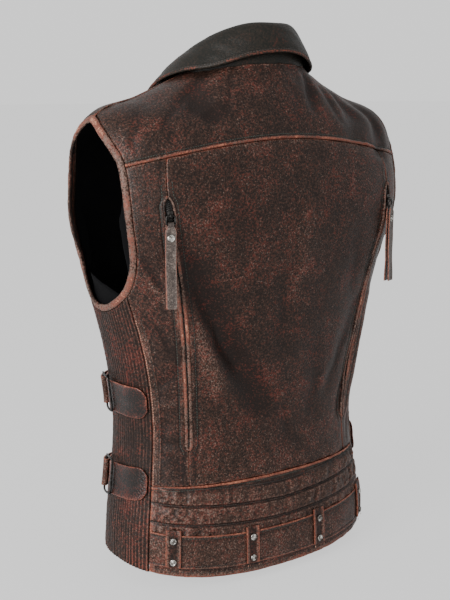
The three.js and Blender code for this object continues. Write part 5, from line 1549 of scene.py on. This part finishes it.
def collarStations():
    flipped = collarRows[:0:-1] * np.array([1, -1, 1, 1, -1, 1, 1])
    flipped[:, 0] = 180 - flipped[:, 0]
    return smoothPath(np.concatenate([flipped, collarRows]), collarLook["columns"] + 1)


def neckEdge(psi):
    turn = np.where(psi < 0, psi, 180 - psi)
    opening = neckOpening(np.interp(turn, neckRows[:, 0], np.arange(len(neckRows))))
    opening = np.where((psi < 0)[:, None], opening, mirror(opening))
    behind = (psi >= 0) & (psi <= 180)
    return np.where(behind[:, None], pair(psi, float(neckRing)), opening)


# Out of a grid of points, on the side that most of it turns to
def surfaceWay(points, towards, start=0):
    way = unit(np.cross(np.gradient(points, axis=0), np.gradient(points, axis=1)))
    return way * np.sign((way[:, start:] * towards[:, None]).sum())


def makeStand(psi, roll, outward):
    base = foldedSkin(neckEdge(psi))
    tucked = [base - outward * inside + np.array([0, 0, up]) for inside, up in collarLook["tuck"]]
    path = np.stack(tucked + [mix(base, roll, np.array(share)) for share in (0.12, 0.35, 0.68, 1)], 1)
    points = np.stack([smoothPath(column, collarLook["standRows"] + 1) for column in path])
    way = surfaceWay(points, outward)
    cut = Cut(points)
    share = cut.bottom / np.maximum(cut.w[:, -1:], 1)
    rise = 1.2 * np.sin(share * np.pi) + 0.8 * clothNoise(cut.u / 26, cut.w / 14, 151) * share
    points = points + way * (rise - 0.5 * bump(cut.bottom, 3, 1))[..., None]
    wearAndShade = 0.22 + 0.45 * np.exp(-cut.bottom / 1.5) + 0.1 * clothNoise(cut.u / 20, cut.w / 10, 152)
    addWall("collar_stand_hide", points, way, wearAndShade, collarHide, form["leather"],
            replaced=("collar_stand",))
    stitchRows.append({"line": points[:, 4], "out": way[:, 4], "kind": "dark", "pitch": 3.6})


def makeFall(roll, edge, outward, over):
    inner = np.array(collarLook["inner"], float)
    head = roll[:, None] + outward[:, None] * inner[None, :, :1] + over[:, None] * inner[None, :, 1:]
    start = roll - outward * collarLook["rollIn"] + over * (form["leather"] + collarLook["clear"])
    turn = roll + outward * collarLook["rollOut"] + over * collarLook["rollUp"]
    t = (np.linspace(0, 1, 12) ** collarLook["ease"])[None, :, None]
    curve = (1 - t) ** 2 * start[:, None] + 2 * t * (1 - t) * turn[:, None] + t ** 2 * edge[:, None]
    path = np.concatenate([head, curve], axis=1)
    points = np.stack([smoothPath(column, collarLook["fallRows"] + 1) for column in path])
    way = surfaceWay(points, outward + over, -20)
    cut = Cut(points)
    sag = 1.2 * clothNoise(cut.u / 34, cut.w / 24, 153) + 0.5 * clothNoise(cut.u / 12, cut.w / 10, 154)
    rim = np.minimum(cut.top, np.minimum(cut.left, cut.right))
    rise = sag * np.clip((cut.w - 30) / 20, 0, 1) - 0.6 * bump(rim, 4.6, 1.0)
    rise = rise + collarLook["pipeHigh"] * bump(rim, collarLook["pipeAt"], 1.3)
    points = points + way * (rise + turnedEdge(rim, 1.0, 1.2))[..., None]
    broken = 0.9 + 0.25 * clothNoise(cut.u / 22, 1, 155)
    wearAndShade = 0.24 + 0.62 * bump(rim, collarLook["pipeAt"], 1.7) * broken + 0.1 * ridgeWear(rise, cut)
    addWall("collar_fall_hide", points, way, wearAndShade, collarHide, form["leather"],
            replaced=("collar_fall",))
    line, ways = rowAlong(cut, points, way, "top", 4.6)
    stitchRows.append({"line": line, "out": ways, "kind": "dark", "pitch": 3.6})


def makeCollar():
    rows = collarStations()
    psi, roll, edge = rows[:, 0], rows[:, 1:4], rows[:, 4:7]
    outward = unit((edge - roll) * np.array([1, 1, 0]))
    over = unit(np.cross(outward, np.gradient(roll, axis=0)))
    over = over * np.sign(over[:, 2:3])
    makeStand(psi, roll, outward)
    makeFall(roll, edge, outward, over)


# Lapels, turned back along the open neck edge
lapelLook = {
    "columns": 36, "rows": 80, "width": 60, "length": 190, "from": 0.05, "run": 3.65, "inset": 1, "foot": 5,
    "top": 58, "share": 0.86, "rise": 3.1,
}


def lapelRim(cut):
    return np.minimum(np.minimum(cut.right, cut.top), cut.bottom)


def lapelRelief(cut):
    rise = lapelLook["rise"] + undulation(cut, 0.6, 161) - 3.4 * np.clip(1 - cut.left / 3.2, 0, 1) ** 2
    rim = lapelRim(cut)
    return rise + 0.6 * bump(rim, 1.6, 1.3) - 0.5 * bump(rim, 4.8, 1.0) + turnedEdge(rim, 0.8, 1.0)


def lapelWear(cut, rise):
    wearAndShade = rubbed(cut, rise, 0.3, 0.3) + 0.25 * np.exp(-cut.left / 2.5)
    return wearAndShade + 0.5 * bump(lapelRim(cut), 1.4, 1.6)


def makeLapels():
    s = edgeSpread(lapelLook["columns"], lapelLook["width"])
    t = edgeSpread(lapelLook["rows"], lapelLook["length"])
    fold = neckOpening(lapelLook["from"] + lapelLook["run"] * t)
    width = lapelLook["foot"] + lapelLook["top"] * np.sin(np.minimum(t / lapelLook["share"], 1) * np.pi / 2)
    inner, outer = slideRound(fold, lapelLook["inset"]), slideRound(fold, width)
    places = patch(mix(inner[0], outer[0], s), mix(inner[-1], outer[-1], s), inner, outer, s, t)
    for side in (1, -1):
        name = f"lapel_{sideName(side)}_hide"
        made = addCut(name, places, lapelRelief, lapelWear, side=side, creased=0.0)
        sewRow(made, "right", 4.8)
        sewRow(made, "top", 4.8)


# Lining, sewn in at its seams and hanging a little free between them
liningLook = {
    "columns": 80, "rows": 70,
    "sewn": -3.15, "free": -8.15, "thick": 0.6, "hem": 0.16, "edge": 5.5, "zipInset": 9, "neckTop": 8.98,
    "zipShare": 7 / 12, "seamShare": 7 / 12, "seamTop": 0.985, "zipTop": 0.97, "neckShare": 2 / 12,
}


def liningRelief(cut):
    free = np.clip(cut.edge / 45, 0, 1) ** 0.7
    waves = 1.3 * clothNoise(cut.psi / 9, cut.z / 60, 171) + 0.5 * clothNoise(cut.psi / 4, cut.z / 25, 172)
    return liningLook["sewn"] + (liningLook["free"] - liningLook["sewn"] + waves - 0.6) * free


def unworn(cut, rise):
    return np.zeros_like(rise)


def liningArmhole(a):
    return nudge(armholeAt(a), armholeAway(a), form["bindingHalfWidth"] + liningLook["edge"])


def liningSide(t, armholeEnd):
    share = liningLook["seamShare"]
    hemZ = heightOf(np.array([form["sideSeamTurn"], 0.0]))
    rising = (heightOf(sideTop) - hemZ) * np.clip(t / share, 0, 1) * liningLook["seamTop"]
    above = np.clip((t - share) / (1 - share), 0, 1)
    armhole = liningArmhole(form["armholeSideBack"] + (armholeEnd - form["armholeSideBack"]) * above)
    return np.where((t < share)[:, None], aboveHem(sideSeam(hemZ + rising)), armhole)


def aboveHem(at):
    return pair(at[:, 0], np.maximum(at[:, 1], liningLook["hem"]))


def addLining(name, places, side):
    thick = liningLook["thick"]
    addCut(name + "_cloth", places, liningRelief, unworn, liningCloth, side, thick, 0.0)


def makeLining():
    s, t = np.linspace(0, 1, liningLook["columns"] + 1), np.linspace(0, 1, liningLook["rows"] + 1)
    left = liningSide(t, 0)
    neckSide = np.array([0.0, liningLook["neckTop"]])
    top = roundNeck(s, liningLook["neckShare"], left[-1], neckSide)
    places = patch(mix(left[0], mirror(left[0]), s), top, left, mirror(left), s, t)
    addLining("lining_back", places, 1)
    s, outer = np.linspace(0, 1, liningLook["columns"] // 2 + 1), liningSide(t, armholeCount)
    share, inset = liningLook["zipShare"], liningLook["zipInset"]
    zipEdge = centreFront(np.clip(t / share, 0, 1) * liningLook["zipTop"], form["zipSlotHalf"] + inset)
    opening = slideRound(openingAbove(t, share), inset)
    inner = np.where((t < share)[:, None], aboveHem(zipEdge), opening)
    inner[-1] = neckSide
    places = patch(mix(inner[0], outer[0], s), mix(neckSide, outer[-1], s), inner, outer, s, t)
    for side in (1, -1):
        addLining(f"lining_front_{sideName(side)}", places, side)


trims = (makeBindings, makeBackZips, makeFrontZip, makeLoops, makeStraps, makeCollar, makeLapels)
for make in (*trims, makeLining):
    make()
print("trims, collar and lining made")


# Every row of stitches as one joined mesh of small rounded stitches sunk into the leather
stitchLook = {"long": 2.7, "wide": 0.75, "high": 0.6, "sink": 0.12}


def picked(values, run, where):
    return np.stack([np.interp(where, run, column) for column in values.T], -1)


def resampled(line, out, pitch):
    run = np.concatenate([[0], np.cumsum(np.linalg.norm(np.diff(line, axis=0), axis=1))])
    count = int(run[-1] / pitch)
    if count < 1:
        return []
    at = (np.arange(count) + 0.5) * run[-1] / count
    along = picked(line, run, at + 0.4) - picked(line, run, at - 0.4)
    return zip(picked(line, run, at), unit(along), unit(picked(out, run, at)))


def makeStitching(kind, material):
    bm = bmesh.new()
    blockInto(bm, (1, 1, 1), (0, 0, 0), 0.24, segments=1)
    size = Matrix.Diagonal((stitchLook["long"], stitchLook["wide"], stitchLook["high"], 1))
    size = Matrix.Scale(millimetre, 4) @ size
    matrices = []
    for row in stitchRows:
        if row["kind"] != kind:
            continue
        for point, along, out in resampled(row["line"], row["out"], row["pitch"]):
            across = unit(np.cross(out, along))
            up = np.cross(along, across)
            where = point + up * (stitchLook["high"] / 2 - stitchLook["sink"])
            matrices.append(framed(where, along, across, up) @ size)
    addCopies(f"stitching_{kind}", meshOf("stitch", bm), matrices, material)
    print(kind, "stitches:", len(matrices))


for kind, material in (("dark", darkThread), ("green", greenThread), ("tan", tanThread)):
    makeStitching(kind, material)


# Floor, lights and camera
stageLook = {
    "floorShade": 0.15, "floorGlow": 0.9, "floorDrop": 0.012, "world": 1.12, "distance": 1.445,
    "azimuth": 36.2, "eyeHeight": -0.018, "pitch": 10.6, "lens": 67.14, "yaw": 0.665, "tilt": 0.1,
    "keyPower": 86, "keySize": 1.2, "keyAzimuth": 72, "keyElevation": 16, "keyDistance": 2.2,
    "aimHeight": -0.3,
}


def floorMaterial(name):
    material, _, shader = startMaterial(name)
    shader.inputs["Base Color"].default_value = (stageLook["floorShade"],) * 3 + (1,)
    shader.inputs["Roughness"].default_value = 1.0
    shader.inputs["Specular IOR Level"].default_value = 0.0
    shader.inputs["Emission Color"].default_value = (1, 1, 1, 1)
    shader.inputs["Emission Strength"].default_value = stageLook["floorGlow"]
    return material


def makeBackdrop():
    bm = bmesh.new()
    bmesh.ops.create_grid(bm, x_segments=1, y_segments=1, size=40)
    mesh = meshOf("floor", bm)
    mesh.transform(Matrix.Translation((0, 0, boundsAtLoad[0].z - stageLook["floorDrop"])))
    mesh.materials.append(floorMaterial("floorTone"))
    floor = bpy.data.objects.new("floor", mesh)
    bpy.context.scene.collection.objects.link(floor)


def makeLight():
    light = bpy.data.lights.new("key", "AREA")
    light.energy, light.size = stageLook["keyPower"], stageLook["keySize"]
    lamp = bpy.data.objects.new("key", light)
    bpy.context.scene.collection.objects.link(lamp)
    turn, lift = math.radians(stageLook["keyAzimuth"]), math.radians(stageLook["keyElevation"])
    way = Vector((math.sin(turn) * math.cos(lift), math.cos(turn) * math.cos(lift), math.sin(lift)))
    lamp.location = Vector((0, 0, stageLook["aimHeight"])) + way * stageLook["keyDistance"]
    lamp.rotation_euler = (-way).to_track_quat("-Z", "Y").to_euler()


def makeCamera():
    camera = bpy.data.cameras.new("camera")
    camera.sensor_fit, camera.sensor_width, camera.lens = "AUTO", 36, stageLook["lens"]
    holder = bpy.data.objects.new("camera", camera)
    bpy.context.scene.collection.objects.link(holder)
    turn, distance = math.radians(stageLook["azimuth"]), stageLook["distance"]
    holder.location = (math.sin(turn) * distance, math.cos(turn) * distance, stageLook["eyeHeight"])
    heading = math.radians(180 - stageLook["azimuth"] + stageLook["yaw"])
    holder.rotation_euler = (math.radians(90 - stageLook["pitch"] - stageLook["tilt"]), 0, heading)
    bpy.context.scene.camera = holder


world = bpy.data.worlds.new("studio")
world.use_nodes = True
world.node_tree.nodes["Background"].inputs["Color"].default_value = (1, 1, 1, 1)
world.node_tree.nodes["Background"].inputs["Strength"].default_value = stageLook["world"]
bpy.context.scene.world = world
makeBackdrop()
makeLight()
makeCamera()
print("stage set")
